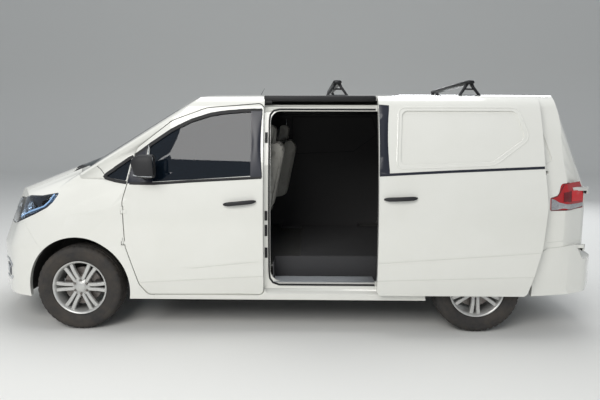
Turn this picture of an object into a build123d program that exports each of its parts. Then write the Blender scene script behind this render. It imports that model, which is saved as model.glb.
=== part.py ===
from build123d import *
import os
from copy import deepcopy
from math import cos, hypot, pi, radians, sin

os.makedirs("parts", exist_ok=True)

# A one-box panel van with its left sliding door open. Millimetres.
# +X points forward, +Y to the van's left, +Z up, and the origin is on the floor under its middle.

# Overall sizes
length = 5168
width = 1980
roof_z = 1928
wheelbase = 3198
front_overhang = 960
nose_x = length / 2
tail_x = -length / 2
side_y = width / 2
front_axle_x = nose_x - front_overhang
rear_axle_x = front_axle_x - wheelbase

# Wheels
tyre_diameter = 690
tyre_width = 215
bead_radius = 205
bead_half_width = 82
flange_radius = 219
flange_thickness = 7
barrel_wall = 14
track = 1702
wheel_y = track / 2
axle_z = tyre_diameter / 2
mount_face = 46
spoke_pairs = 6
spoke_width = 17
spoke_depth = 26
spoke_splay = 34
hub_radius = 74
lug_circle = 56
lug_radius = 10
lug_height = 12
disc_radius = 152
disc_thickness = 26
stub_radius = 20
running_fit = 0.05
axial_clearance = 0.5

# Steering
kingpin_inset = 71
kingpin_radius = 13
kingpin_half_height = 112
knuckle_radius = 27
eye_radius = 26
eye_height = 30

# Heights and walls of the body
sill_z = 264
under_z = 150
belt_z = 1187
floor_z = 560
floor_thickness = 36
step_z = 395
side_wall = 80
door_depth = 58
panel_wall = 16
roof_wall = 30
gap = 7
fixed_gap = 0.3
glass_depth = 9
glass_wall = 5
seam_y = 745
arch_radius = 420
liner_wall = 6
liner_inner_y = 535

# Doors
door_rear_x = 134
door_front_x = 1234
slide_front_x = 122
slide_back = 885
slide_out = 78
slide_sill_z = 404
slide_top_z = 1765
barn_bottom_z = 612
barn_top_z = 1842
barn_outer_y = 862
barn_hinge_x = tail_x + 166
barn_hinge_y = 888
barn_seam = 18
barn_eye_radius = 11
barn_ledge_z = 728
bonnet_rear_x = 1712
bonnet_edge_y = 690
header_x = 850
pillar_front_x = 1290
bonnet_front_z = 992
bonnet_gap = 12
lamp_inner_y = 470
grille_low_z = 802
intake_y = 560
intake_low_z = 395
intake_high_z = 560
bumper_wall = 40
blank_depth = 10
screen_bottom_z = 1316
screen_top_z = 1834

# Hinges
hinge_radius = 9
hinge_height = 26
pin_radius = 4
door_hinge_x = 1243
door_hinge_y = side_y - 4
door_hinge_heights = (742, 990)
barn_hinge_heights = (690, 1150)
bonnet_hinge_x = bonnet_rear_x + 2
bonnet_hinge_y = 628
bonnet_hinge_z = 1290
bonnet_clear_radius = 27.5
handle_radius = 13

# Cab, floor and load space
cab_floor_x = -150
cab_floor_drop = 20
step_rear_x = -800
step_front_x = 60
step_inner_y = 690
rail_y = 400
seat_y = 430
driver_front_x = 590
passenger_front_x = 675
disc_y = 0
grille_slats = 3
spare_x = -2085

# Roof bars
bar_places = (-459, -1547)
bar_half = 640
bar_z = 2012
bar_chord = 78
bar_height = 26
foot_length = 180

# Slopes, as the run in X for each millimetre of rise
screen_run = -1.64
tail_run = 0.40
nose_run = -0.42
bonnet_rise = -0.39


def face_of(rows):
    """A flat face from rows of (a, b, corner radius)."""
    points = [(a, b) for a, b, _ in rows]
    return make_face(FilletPolyline(*points, radius=[r for _, _, r in rows], close=True))


def mirrored_rows(rows):
    """An outline symmetric about b = 0 from the rows of its b > 0 half."""
    return rows + [(a, -b, r) for a, b, r in reversed(rows)]


def side_prism(face, y_from, y_to):
    """A face drawn in (X, Z) and run from y_from to y_to."""
    plane = Plane(origin=(0, y_to, 0), x_dir=(1, 0, 0), z_dir=(0, -1, 0))
    return extrude(plane * face, amount=y_to - y_from)


def cross_prism(face, x_from, x_to):
    """A face drawn in (Y, Z) and run from x_from to x_to."""
    plane = Plane(origin=(x_from, 0, 0), x_dir=(0, 1, 0), z_dir=(1, 0, 0))
    return extrude(plane * face, amount=x_to - x_from)


def plan_prism(face, z_from, z_to):
    """A face drawn in (X, Y) and run from z_from to z_to."""
    return extrude(Plane(origin=(0, 0, z_from)) * face, amount=z_to - z_from)


def block(x_from, x_to, y_from, y_to, z_from, z_to):
    """A block between two corners."""
    size = (x_to - x_from, y_to - y_from, z_to - z_from)
    centre = ((x_from + x_to) / 2, (y_from + y_to) / 2, (z_from + z_to) / 2)
    return Pos(*centre) * Box(*size)


def rod(start, end, radius):
    """A round bar between two points."""
    axis = Vector(*end) - Vector(*start)
    plane = Plane(origin=start, z_dir=axis)
    return extrude(plane * Circle(radius), amount=axis.length)


def joined(pieces):
    """The pieces fused one after another."""
    whole = pieces[0]
    for piece in pieces[1:]:
        whole = whole + piece
    return whole


def right_of(piece):
    """The mirror image of a left-hand piece."""
    return mirror(piece, about=Plane.XZ)


def both_sides(piece):
    """A left-hand piece and its mirror image, side by side."""
    return Compound(children=[*piece.solids(), *right_of(piece).solids()])


def save(name, shape):
    """Write one node from its solids."""
    solids = shape.solids()
    whole = solids[0] if len(solids) == 1 else Compound(children=solids)
    export_step(whole, f"parts/{name}.step")


# The closed form of the body, from six prisms that are cut with one another

# Section across the middle: half widths at the sill, the widest line, the belt, the window top and the gutter
section_points = [
    (side_y - 48, under_z - 20),
    (side_y, 700),
    (side_y - 25, belt_z + 13),
    (side_y - 65, 1450),
    (side_y - 155, 1780),
    (side_y - 191, 1848),
    (side_y - 290, roof_z - 36),
    (0, roof_z),
]
# Centreline in side view: X, Z, corner radius
profile_rows = [
    (nose_x - 190, under_z, 0),
    (nose_x, 345, 60),
    (nose_x, 660, 300),
    (nose_x - 22, 915, 120),
    (nose_x - 125, 1040, 220),
    (nose_x - 385, 1160, 1500),
    (nose_x - 750, 1293, 0),
    (nose_x - 750, 1650, 0),
    (1000, roof_z - 112, 0),
    (600, roof_z - 45, 900),
    (100, roof_z - 8, 3000),
    (-1300, roof_z + 3, 6000),
    (-2160, roof_z - 32, 900),
    (tail_x + 331, roof_z - 42, 45),
    (tail_x + 140, 1320, 900),
    (tail_x + 63, 1010, 900),
    (tail_x + 63, under_z, 0),
]
# Centreline of the tail bumper: X, Z, corner radius
tail_bumper_profile_rows = [
    (tail_x + 700, barn_ledge_z, 0),
    (tail_x + 70, barn_ledge_z, 30),
    (tail_x + 8, 600, 150),
    (tail_x, 520, 100),
    (tail_x + 3, 400, 60),
    (tail_x + 150, under_z, 0),
    (tail_x + 700, under_z, 0),
]
# Plan of the lower body: X, half width, corner radius
plan_rows = [
    (tail_x, 520, 900),
    (tail_x + 55, 780, 160),
    (tail_x + 140, 910, 160),
    (tail_x + 380, side_y + 8, 800),
    (1300, side_y + 10, 2500),
    (1950, side_y - 45, 1000),
    (2215, 835, 350),
    (2415, 560, 400),
    (nose_x + 5, 200, 700),
]
# Plan of the nose, which leans back above nose_turn_z
nose_turn_z = 660
nose_plan_rows = [(tail_x - 1500, side_y + 60, 0), (500, side_y + 60, 900)] + plan_rows[4:]
# Plan of the windows and windscreen at the height screen_plan_z
screen_plan_z = 1300
upper_plan_rows = [
    (tail_x - 1200, side_y + 20, 0),
    (250, side_y + 20, 900),
    (1100, side_y - 62, 900),
    (1558, 838, 75),
    (1672, 560, 700),
    (1752, 170, 900),
]
# Plan of the leaning tail at the height tail_plan_z
tail_plan_z = 1236
tail_upright = 42
tail_plan_rows = [
    (tail_x + 130, 640, 400),
    (tail_x + 197, 855, 150),
    (tail_x + 440, side_y + 20, 400),
    (tail_x + 6200, side_y + 20, 0),
]
# Section of the bonnet at bonnet_plane_x: half width, Z, corner radius
bonnet_plane_x = 1834
bonnet_section_rows = [
    (-side_y - 20, -400, 0),
    (-side_y - 20, 720, 0),
    (-side_y + 45, 930, 160),
    (-840, 1150, 260),
    (-620, 1262, 500),
    (-260, 1297, 1500),
    (260, 1297, 1500),
    (620, 1262, 500),
    (840, 1150, 260),
    (side_y - 45, 930, 160),
    (side_y + 20, 720, 0),
    (side_y + 20, -400, 0),
]


def section_face():
    """The section across the middle, as arcs through the section points."""
    p = section_points
    q = [(-y, z) for y, z in p]
    edges = [
        Line(q[0], p[0]),
        ThreePointArc(p[0], p[1], p[2]),
        ThreePointArc(p[2], p[3], p[4]),
        ThreePointArc(p[4], p[5], p[6]),
        ThreePointArc(p[6], p[7], q[6]),
        ThreePointArc(q[6], q[5], q[4]),
        ThreePointArc(q[4], q[3], q[2]),
        ThreePointArc(q[2], q[1], q[0]),
    ]
    return make_face(Curve() + edges)


def fresh(form):
    """A copy of a form, so that cutting one piece leaves the form itself as it was."""
    return deepcopy(form)


def inset_face(face, inset):
    """The face drawn in by inset all round."""
    return offset(face, amount=-inset) if inset else face


def body_form(inset):
    """The solid form of the body, or the form that lies inset inside it."""
    section = cross_prism(inset_face(section_face(), inset), tail_x - 100, nose_x + 100)
    profile = side_prism(inset_face(face_of(profile_rows), inset), -side_y - 50, side_y + 50)
    plan = plan_prism(inset_face(face_of(mirrored_rows(plan_rows)), inset), 100, 2000)
    nose_face = inset_face(face_of(mirrored_rows(nose_plan_rows)), inset)
    nose = extrude(
        Plane(origin=(-nose_run * 600, 0, nose_turn_z - 600)) * nose_face,
        amount=2000 * hypot(1, nose_run),
        dir=(nose_run, 0, 1),
    )
    upper_face = inset_face(face_of(mirrored_rows(upper_plan_rows)), inset)
    upper_low = 900
    upper_shift = (upper_low - screen_plan_z) * screen_run - inset * 0.92
    upper = extrude(
        Plane(origin=(upper_shift, 0, upper_low)) * upper_face,
        amount=1100 * hypot(1, screen_run),
        dir=(screen_run, 0, 1),
    )
    upper = upper & block(tail_x - 1300, 1788 - inset, -1100, 1100, 500, 2100)
    middle = block(tail_x - 100, 1200, -1100, 1100, 0, 1100)
    tail_face = inset_face(face_of(mirrored_rows(tail_plan_rows)), inset)
    tail_low = 50
    tail = extrude(
        Plane(origin=((tail_low - tail_plan_z) * tail_run, 0, tail_low)) * tail_face,
        amount=(2000 - tail_low) * hypot(1, tail_run),
        dir=(tail_run, 0, 1),
    )
    tail = tail & plan_prism(Pos(-tail_upright, 0, 0) * tail_face, 100, 1990)
    bonnet_start = 500
    bonnet_lift = (bonnet_start - bonnet_plane_x) * bonnet_rise
    bonnet_plane = Plane(origin=(bonnet_start, 0, bonnet_lift), x_dir=(0, 1, 0), z_dir=(1, 0, 0))
    bonnet = extrude(
        bonnet_plane * inset_face(face_of(bonnet_section_rows), inset),
        amount=2200 * hypot(1, bonnet_rise),
        dir=(1, 0, bonnet_rise),
    )
    form = section & profile
    form = form & plan
    form = form & nose
    form = form & tail
    return form & (upper + middle + bonnet)


def tail_bumper_form(inset):
    """The solid form of the tail bumper, or the form that lies inset inside it."""
    section = cross_prism(inset_face(section_face(), inset), tail_x - 100, tail_x + 720)
    profile = side_prism(inset_face(face_of(tail_bumper_profile_rows), inset), -side_y - 50, side_y + 50)
    plan = plan_prism(inset_face(face_of(mirrored_rows(plan_rows)), inset), 100, 2000)
    return (profile & section) & plan


outer = body_form(0)
cabin = body_form(side_wall)
door_back = body_form(door_depth)
rebate_back = body_form(door_depth + 2)
bumper_back = body_form(bumper_wall)
panel_back = body_form(panel_wall)
roof_back = body_form(roof_wall)
glass_front = body_form(glass_depth)
glass_back = body_form(glass_depth + glass_wall)
wall = fresh(outer) - fresh(cabin)
panel = fresh(outer) - fresh(panel_back)
glass_sheet = fresh(glass_front) - fresh(glass_back)

# Outlines of the panels in side view: X, Z, corner radius

door_rows = [
    (door_rear_x, 304, 40),
    (1058, 304, 50),
    (1125, 388, 60),
    (1222, 700, 150),
    (door_front_x + 4, 1060, 200),
    (1206, belt_z, 60),
    (1140, 1470, 50),
    (860, 1684, 150),
    (585, 1786, 250),
    (door_rear_x, 1822, 40),
]
door_hole_rows = [
    (door_rear_x + 55, 372, 60),
    (1000, 372, 60),
    (1120, 690, 120),
    (1150, 1160, 80),
    (1085, 1440, 60),
    (850, 1622, 150),
    (570, 1728, 250),
    (door_rear_x + 55, 1758, 60),
]
door_window_rows = [
    (door_rear_x + 45, 1262, 25),
    (700, 1228, 600),
    (1036, 1210, 20),
    (1036, 1494, 12),
    (859, 1617, 120),
    (700, 1694, 250),
    (540, 1744, 400),
    (door_rear_x + 45, 1776, 25),
]
quarter_rows = [
    (1218, belt_z + 26, 15),
    (1400, 1240, 8),
    (1380, 1264, 8),
    (1176, 1410, 10),
]
slide_rows = [
    (slide_front_x, 322, 40),
    (slide_front_x, 1990, 0),
    (-1115, 1990, 0),
    (-1140, 1326, 500),
    (-1168, 1040, 300),
    (-1136, 690, 200),
    (-1082, 446, 100),
    (-1050, 322, 40),
]
slide_hole_rows = [
    (80, slide_sill_z, 90),
    (80, slide_top_z, 80),
    (-1050, slide_top_z, 100),
    (-1085, 1200, 300),
    (-1050, 720, 200),
    (-960, slide_sill_z, 80),
]
slide_blank_rows = [
    (-40, 1350, 45),
    (-745, 1378, 60),
    (-1000, 1560, 60),
    (-930, 1765, 50),
    (-60, 1765, 45),
]
wing_rows = [
    (1010, 200, 0),
    (1010, 1150, 0),
    (1206, belt_z, 20),
    (1410, 1222, 10),
    (1604, 1224, 10),
    (1690, 1330, 0),
    (1900, 1330, 0),
    (2700, 1000, 0),
    (2700, 200, 0),
]
bumper_rows = [
    (1900, 622, 0),
    (1943, 680, 30),
    (2091, 868, 30),
    (2215, 833, 120),
    (2700, 800, 0),
    (2700, 200, 0),
    (1900, 200, 0),
]
headlamp_rows = [
    (1779, 1112, 8),
    (1826, 1036, 30),
    (1869, 994, 60),
    (1980, 938, 120),
    (2215, 838, 60),
    (2560, 838, 0),
    (2560, 985, 0),
    (2300, 1020, 60),
    (2120, 1055, 40),
    (2040, 1082, 50),
    (1932, 1084, 50),
]
tail_bumper_rows = [
    (-2700, 606, 0),
    (-2400, 606, 10),
    (-2328, 726, 15),
    (-2090, 702, 20),
    (-2010, 640, 30),
    (-1940, 480, 100),
    (-1960, 200, 0),
    (-2700, 200, 0),
]
# The tail bumper's underside, rising to the rear
tail_under_rows = [
    (-1900, 300, 0),
    (-2430, 340, 60),
    (-2760, 500, 0),
    (-2760, 100, 0),
    (-1900, 100, 0),
]
tail_lamp_rows = [
    (-2098, 996, 12),
    (-2700, 1026, 0),
    (-2700, 1236, 0),
    (-2180, 1208, 30),
    (-2160, 1118, 25),
    (-2098, 1096, 12),
]
quarter_blank_rows = [
    (-1230, 1352, 60),
    (-2050, 1344, 30),
    (-2114, 1385, 30),
    (-2004, 1729, 50),
    (-1230, 1768, 60),
]
# Outlines across the van: Y, Z, corner radius
screen_rows = [
    (-768, screen_bottom_z, 60),
    (768, screen_bottom_z, 60),
    (690, screen_top_z, 60),
    (-690, screen_top_z, 60),
]
barn_rows = [
    (barn_seam / 2, barn_bottom_z, 15),
    (barn_outer_y, barn_bottom_z, 30),
    (barn_outer_y, 1250, 300),
    (barn_outer_y - 85, barn_top_z, 90),
    (barn_seam / 2, barn_top_z, 15),
]
barn_window_rows = [
    (105, 1225, 60),
    (barn_outer_y - 110, 1225, 60),
    (barn_outer_y - 165, 1735, 60),
    (105, 1735, 60),
]
# Outlines in plan: X, Y, corner radius
bonnet_rows = [
    (bonnet_rear_x, bonnet_edge_y, 40),
    (bonnet_rear_x + 78, 420, 400),
    (bonnet_rear_x + 110, 120, 500),
    (bonnet_rear_x + 110, -120, 500),
    (bonnet_rear_x + 78, -420, 400),
    (bonnet_rear_x, -bonnet_edge_y, 40),
    (nose_x + 50, -bonnet_edge_y, 0),
    (nose_x + 50, bonnet_edge_y, 0),
]


def side_cut(rows, grow=0, y_from=300, y_to=1200):
    """The prism of a side outline on the left, grown by grow."""
    face = face_of(rows)
    return side_prism(offset(face, amount=grow) if grow else face, y_from, y_to)


def arch_cylinder(x, radius, y_from, y_to):
    """The round space of a wheel arch on the left."""
    plane = Plane(origin=(x, y_to, axle_z), x_dir=(1, 0, 0), z_dir=(0, -1, 0))
    return extrude(plane * Circle(radius), amount=y_to - y_from)


def eye(x, y, z, radius, height, axis="z"):
    """A round eye standing on the point, along Z, or along Y."""
    if axis == "z":
        return extrude(Plane(origin=(x, y, z)) * Circle(radius), amount=height)
    plane = Plane(origin=(x, y + height, z), x_dir=(1, 0, 0), z_dir=(0, -1, 0))
    return extrude(plane * Circle(radius), amount=height)


def kept(shape, least=150000):
    """The solids of a shape without the slivers that cuts leave."""
    solids = [solid for solid in shape.solids() if solid.volume > least]
    return solids[0] if len(solids) == 1 else Compound(children=solids)


above_sill = block(tail_x - 50, nose_x + 50, -1150, 1150, sill_z, 2100)
front_arch = arch_cylinder(front_axle_x, arch_radius, liner_inner_y, 1200)
rear_arch = arch_cylinder(rear_axle_x, arch_radius, liner_inner_y, 1200)
screen_prism = cross_prism(face_of([(y, z, 0) for y, z, _ in screen_rows]), header_x, 2000)
bonnet_plan = face_of(bonnet_rows)
bonnet_zone = plan_prism(offset(bonnet_plan, amount=gap), 200, 1500)
bonnet_behind = plan_prism(offset(bonnet_plan, amount=bonnet_gap), 200, 1500)
headlamp_hole = side_cut(headlamp_rows, fixed_gap, lamp_inner_y - fixed_gap)
headlamp_clear = side_cut(headlamp_rows, gap, lamp_inner_y - gap)
tail_zone_rows = [
    (tail_x - 120, barn_bottom_z - 200, 0),
    (tail_x - 120, barn_top_z + 60, 0),
    (-2075, barn_top_z + 60, 0),
    (-2310, tail_plan_z, 0),
    (-2335, 1000, 0),
    (-2335, barn_bottom_z - 200, 0),
]
tail_zone = side_prism(face_of(tail_zone_rows), -1100, 1100)
tail_clear = side_prism(offset(face_of(tail_zone_rows), amount=gap), -1100, 1100)
barn_face = face_of(barn_rows)
barn_half = [row for row in barn_rows[1:-1]]
opening_rows = barn_half + [(-y, z, r) for y, z, r in reversed(barn_half)]
barn_opening = cross_prism(offset(face_of(opening_rows), amount=gap), tail_x - 100, -2100) & tail_clear

# Roof, from the windscreen header to the header above the tail doors

roof_zone = block(tail_x, header_x, -seam_y, seam_y, 1740, 2000)
roof_zone = roof_zone + block(tail_x, header_x + 80, -690, 690, screen_top_z, 2000)
roof = ((fresh(outer) - fresh(roof_back)) & roof_zone) - barn_opening
save("roof", roof)

# Side frame: pillars, sill, cantrail and rear quarter, with rebates where the doors shut

side = fresh(wall) & block(tail_x - 10, 1700, 600, 1100, 200, 2000)
side = side - block(tail_x, header_x, -seam_y, seam_y, 1700, 2000)
side = side - block(header_x - 1, 2000, 0, 690, 1250, 2000)
side = side - screen_prism
side = side - (side_cut(wing_rows, fixed_gap) - fresh(panel_back))
side = side - block(pillar_front_x, 2000, 0, 1100, 100, belt_z)
side = side & above_sill
side = side - (side_cut(door_rows, gap) - fresh(rebate_back))
side = side - side_cut(door_hole_rows)
side = side - (side_cut(slide_rows, gap) - fresh(rebate_back))
side = side - side_cut(slide_hole_rows)
side = side - rear_arch - front_arch
side = side - side_cut(tail_bumper_rows, fixed_gap, 0)
side = side - (side_cut(tail_lamp_rows, fixed_gap, 600) - fresh(panel_back))
side = side - side_cut(quarter_rows)
side = side - barn_opening
side = side - (side_cut(quarter_blank_rows) - body_form(blank_depth))
side = side - bonnet_zone

# Wing with the door hinges' fixed eyes

wing = (fresh(panel) & side_cut(wing_rows, 0, bonnet_edge_y)) & above_sill
wing = wing - side_cut(door_rows, gap) - headlamp_hole
wing = wing - side_cut(bumper_rows, fixed_gap)
wing = wing - front_arch - bonnet_zone - screen_prism

bumper_skin = (fresh(outer) - fresh(bumper_back)) & above_sill
bumper = fresh(bumper_skin) & side_prism(face_of(bumper_rows), 0, 1100)
bumper = bumper - front_arch - headlamp_hole
bumper = bumper - block(2200, 2700, -intake_y, intake_y, intake_low_z, intake_high_z)
bumper = bumper - block(2200, 2700, -lamp_inner_y, lamp_inner_y, grille_low_z, 1200)
bumper = kept(bumper)
bumper = bumper + right_of(bumper)

bonnet = (fresh(panel) & plan_prism(bonnet_plan, bonnet_front_z, 1500)) - headlamp_clear - right_of(headlamp_clear)

headlamp = (fresh(outer) - fresh(door_back)) & side_cut(headlamp_rows, 0, lamp_inner_y)


def hinge_pair(x, y, heights, fixed, swinging):
    """Pin hinges on a vertical line: eyes for the fixed piece, eyes with pins for the swinging one."""
    for z in heights:
        swinging = swinging - eye(x, y, z - 4, hinge_radius + 4, hinge_height + 8)
        fixed = fixed - eye(x, y, z - hinge_height - 8, hinge_radius + 4, hinge_height + 7)
        fixed = fixed - block(x - 40, x + 2, y - 12, y + 5, z - hinge_height - 8, z - 1)
        fixed = fixed + eye(x, y, z, hinge_radius, hinge_height)
        fixed = fixed - eye(x, y, z - 1, pin_radius + running_fit, hinge_height + 2)
        swinging = swinging + eye(x, y, z - hinge_height - 1, hinge_radius, hinge_height)
        swinging = swinging + block(x - 36, x, y - 9, y + 2, z - hinge_height - 1, z - 1)
        swinging = swinging + eye(x, y, z - 2, pin_radius, hinge_height + 2)
    return fixed, swinging


# Doors of the cab: a shell as thick as the whole door, its window cut, with pins at the front edge

door = ((fresh(outer) & side_cut(door_rows)) - fresh(door_back)) - side_cut(door_window_rows)
door = door - (fresh(bumper_back) & block(1180, 1260, 600, 1100, 300, 1200))
wing = kept(wing)
wing, door = hinge_pair(door_hinge_x, door_hinge_y, door_hinge_heights, wing, kept(door))
save("wing_left", wing)
save("wing_right", right_of(wing))
save("door_left", door)
save("door_right", right_of(door))
door_glass = kept(fresh(glass_sheet) & side_cut(door_window_rows))
save("door_glass_left", door_glass)
save("door_glass_right", right_of(door_glass))

# Outside mirrors on an arm at the foot of the window

mirror_x = 1038
mirror_y = 1062
mirror_z = 1345
mirror_size = (170, 96, 196)
housing = Pos(mirror_x, mirror_y, mirror_z) * Box(*mirror_size)
housing = fillet(housing.edges(), 32)
arm = block(mirror_x - 60, mirror_x + 55, 880, mirror_y, 1248, 1286) - fresh(outer)
mirror_left = kept(housing + arm)
save("mirror_left", mirror_left)
save("mirror_right", right_of(mirror_left))

# Bar handles, with feet that reach the door's skin

def bar_handle(x_from, x_to, z, out):
    """A pull bar along the side on two feet."""
    bar = rod((x_from, out, z), (x_to, out, z + (x_to - x_from) * -0.06), handle_radius)
    foot_front = block(x_to - 45, x_to - 12, out - 120, out, z - 26, z - 2)
    foot_rear = block(x_from + 8, x_from + 30, out - 120, out, z - 10, z + 8)
    return kept(joined([bar, foot_front, foot_rear]) - fresh(outer), 1000)


door_handle = bar_handle(190, 442, 1056, side_y + 22)
save("door_handle_left", door_handle)
save("door_handle_right", right_of(door_handle))

# Sliding doors: the right one shut, the left one out of its opening and back along the side

slide = kept(((fresh(outer) & side_cut(slide_rows, 0, seam_y + fixed_gap)) - fresh(door_back)))
slide = slide - (side_cut(slide_blank_rows) - body_form(blank_depth + 1))
slide_handle = bar_handle(-180, 70, 1103, side_y + 22)
shift = Pos(-slide_back, slide_out, 0)
save("sliding_door_left", shift * slide)
save("sliding_door_right", right_of(slide))
save("sliding_handles", Compound(children=[shift * slide_handle, right_of(slide_handle)]))

# Rails, carriages and arms that carry the sliding doors

middle_rail_z = 1292
rail_rear_x = -2080
side = side - side_cut([
    (rail_rear_x, middle_rail_z - 14, 0),
    (-1150, middle_rail_z - 14, 0),
    (-1150, middle_rail_z + 14, 0),
    (rail_rear_x, middle_rail_z + 14, 0),
], 0, side_y - 90)
side = kept(side)

# Barn doors at the tail, hung on ears that stand off the corner pillars

barn = ((fresh(outer) & cross_prism(barn_face, tail_x - 100, -2100)) & tail_zone) - fresh(door_back)
barn = barn - (fresh(glass_front) & block(-2700, -2000, 0, 20, 500, 1900))
barn = barn - (fresh(roof_back) & block(-2700, -2000, 0, 34, 500, 1900))
barn = kept(barn - cross_prism(face_of(barn_window_rows), tail_x - 100, -2100))
barn_strap = block(barn_hinge_x - barn_eye_radius, barn_hinge_x + 5, 840, barn_hinge_y, 0, hinge_height)
pillar_ear = block(barn_hinge_x + 10, barn_hinge_x + 40, barn_hinge_y - 8, barn_hinge_y + 36, 0, hinge_height)
pillar_ear = pillar_ear + block(barn_hinge_x, barn_hinge_x + 12, barn_hinge_y - 8, barn_hinge_y + 8, 0, hinge_height)
ear_root = block(barn_hinge_x + 20, barn_hinge_x + 150, barn_hinge_y + 8, barn_hinge_y + 36, 0, hinge_height)
ear_hole = block(-2600, barn_hinge_x + 151, barn_hinge_y - 20, barn_hinge_y + 50.3, -0.3, hinge_height + 0.3)
ear_holes = [Pos(0, 0, z) * ear_hole for z in barn_hinge_heights]
for z in barn_hinge_heights:
    lower = Pos(0, 0, z - hinge_height - 1)
    upper = Pos(0, 0, z)
    barn = barn + lower * barn_strap
    barn = barn + eye(barn_hinge_x, barn_hinge_y, z - hinge_height - 1, barn_eye_radius, hinge_height)
    barn = barn + eye(barn_hinge_x, barn_hinge_y, z - 2, pin_radius, hinge_height + 2)
    leaf = (upper * pillar_ear) - fresh(outer) + eye(barn_hinge_x, barn_hinge_y, z, barn_eye_radius, hinge_height)
    leaf = leaf + upper * ear_root
    leaf = leaf - eye(barn_hinge_x, barn_hinge_y, z - 1, pin_radius + running_fit, hinge_height + 2)
    side = side + leaf
barn = kept(barn)
save("barn_left", barn)
save("barn_right", right_of(barn))
barn_glass = kept(fresh(glass_sheet) & cross_prism(face_of(barn_window_rows), tail_x - 100, -2100) & tail_zone)
save("barn_glass_left", barn_glass)
save("barn_glass_right", right_of(barn_glass))

# Arms that carry the open left door, and the seal that the shut right door lies on

open_door = shift * slide
arm_x = slide_front_x - slide_back - 130
lower_arm = block(arm_x, arm_x + 60, 850, 1040, slide_sill_z, slide_sill_z + 22)
upper_arm = block(arm_x, arm_x + 60, 765, 900, slide_top_z - 26, slide_top_z)
middle_arm = block(-1990, -1920, side_y - 88, side_y + 10, middle_rail_z - 12, middle_rail_z + 12)
gear = [kept(arm - open_door - side, 5000) for arm in (lower_arm, upper_arm, middle_arm)]
seal = (fresh(door_back) - fresh(rebate_back)) & side_cut(slide_rows, -14, seam_y + 20)
seal = kept(seal - side_cut(slide_hole_rows, 12))
save("sliding_gear", Compound(children=[*gear, *right_of(seal).solids()]))
save("side_left", side)
save("side_right", right_of(side))

# Fixed glass: windscreen and the triangular quarter lights

windscreen = kept((fresh(outer) - body_form(glass_wall + 2)) & screen_prism)
save("windscreen", windscreen)
quarter = kept(fresh(glass_sheet) & side_cut(quarter_rows), 5000)
save("quarter_glass", both_sides(quarter))

# Bonnet, and the cowl that carries its hinges below the windscreen

cowl = (fresh(panel) & block(1560, 1860, -690, 690, 1150, screen_bottom_z)) - bonnet_behind
cowl = kept(cowl - side - right_of(side) - wing - right_of(wing))
bonnet = kept(bonnet)
for y in (bonnet_hinge_y, -bonnet_hinge_y - hinge_height):
    bonnet = bonnet - eye(bonnet_hinge_x, y - 4, bonnet_hinge_z, hinge_radius + 4, hinge_height + 8, "y")
    inner = y - hinge_height - 1 if y > 0 else y + hinge_height + 1
    clear_from = inner - 4 if y > 0 else inner - 0.5
    cowl = cowl - eye(bonnet_hinge_x, clear_from, bonnet_hinge_z, bonnet_clear_radius, hinge_height + 4.5, "y")
    cowl_eye = eye(bonnet_hinge_x, y, bonnet_hinge_z, hinge_radius, hinge_height, "y")
    cowl_eye = cowl_eye + block(bonnet_hinge_x - 40, bonnet_hinge_x, y, y + hinge_height, bonnet_hinge_z - 9, bonnet_hinge_z - 1)
    cowl = cowl + cowl_eye
    cowl = cowl - eye(bonnet_hinge_x, y - 1, bonnet_hinge_z, pin_radius + running_fit, hinge_height + 2, "y")
    low = min(y, inner)
    bonnet = bonnet + eye(bonnet_hinge_x, inner, bonnet_hinge_z, hinge_radius, hinge_height, "y")
    bonnet = bonnet + block(bonnet_hinge_x, bonnet_hinge_x + 26, inner, inner + hinge_height, bonnet_hinge_z - 9, bonnet_hinge_z - 1)
    bonnet = bonnet + eye(bonnet_hinge_x, low, bonnet_hinge_z, pin_radius, 2 * hinge_height + 1, "y")
bonnet = kept(bonnet)
cowl = kept(cowl)
save("bonnet", bonnet)
save("cowl", cowl)

# Bumpers, grille and lamps

save("bumper_front", bumper)
slats = [block(2200, 2700, -lamp_inner_y, lamp_inner_y, grille_low_z, grille_low_z + 26)]
slats = slats + [block(2200, 2700, -lamp_inner_y, lamp_inner_y, bonnet_front_z - 34, bonnet_front_z - gap)]
for i in range(1, grille_slats + 1):
    z = grille_low_z + i * (bonnet_front_z - gap - grille_low_z) / (grille_slats + 1)
    slats.append(block(2200, 2700, -lamp_inner_y, lamp_inner_y, z - 8, z + 8))
for y in (-lamp_inner_y, -120, 94, lamp_inner_y - 26):
    slats.append(block(2200, 2700, y, y + 26, grille_low_z, bonnet_front_z - gap))
grille = kept(fresh(bumper_skin) & joined(slats))
lower_bars = [block(2200, 2700, -intake_y, intake_y, intake_low_z + i * 42 + 30, intake_low_z + i * 42 + 42) for i in range(3)]
lower_bars = lower_bars + [block(2200, 2700, y - 8, y + 8, intake_low_z, intake_high_z) for y in (-300, 0, 300)]
intake_grille = kept(fresh(bumper_skin) & joined(lower_bars))
save("grille", Compound(children=[*grille.solids(), *intake_grille.solids()]))
headlamp = kept(headlamp)
save("headlamps", both_sides(headlamp))
tail_form = tail_bumper_form(0)
tail_bumper = (fresh(tail_form) - tail_bumper_form(bumper_wall)) & above_sill
tail_bumper = tail_bumper & side_prism(face_of(tail_bumper_rows), -1100, 1100)
tail_bumper = tail_bumper - block(-2700, -1900, -barn_outer_y - gap, barn_outer_y + gap, barn_bottom_z - gap, 900)
tail_bumper = tail_bumper - block(-2470, -1800, -860, 860, 200, 900)
step_top = fresh(tail_form) & block(tail_x - 10, tail_x + 150, -barn_outer_y - gap, barn_outer_y + gap, 596, barn_bottom_z - gap)
tail_bumper = tail_bumper + step_top
tail_bumper = tail_bumper - side_prism(face_of(tail_under_rows), -1100, 1100)
tail_bumper = tail_bumper - ear_holes[0] - right_of(ear_holes[0])
tail_bumper = kept(tail_bumper - rear_arch - right_of(rear_arch))
save("bumper_rear", tail_bumper)
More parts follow.
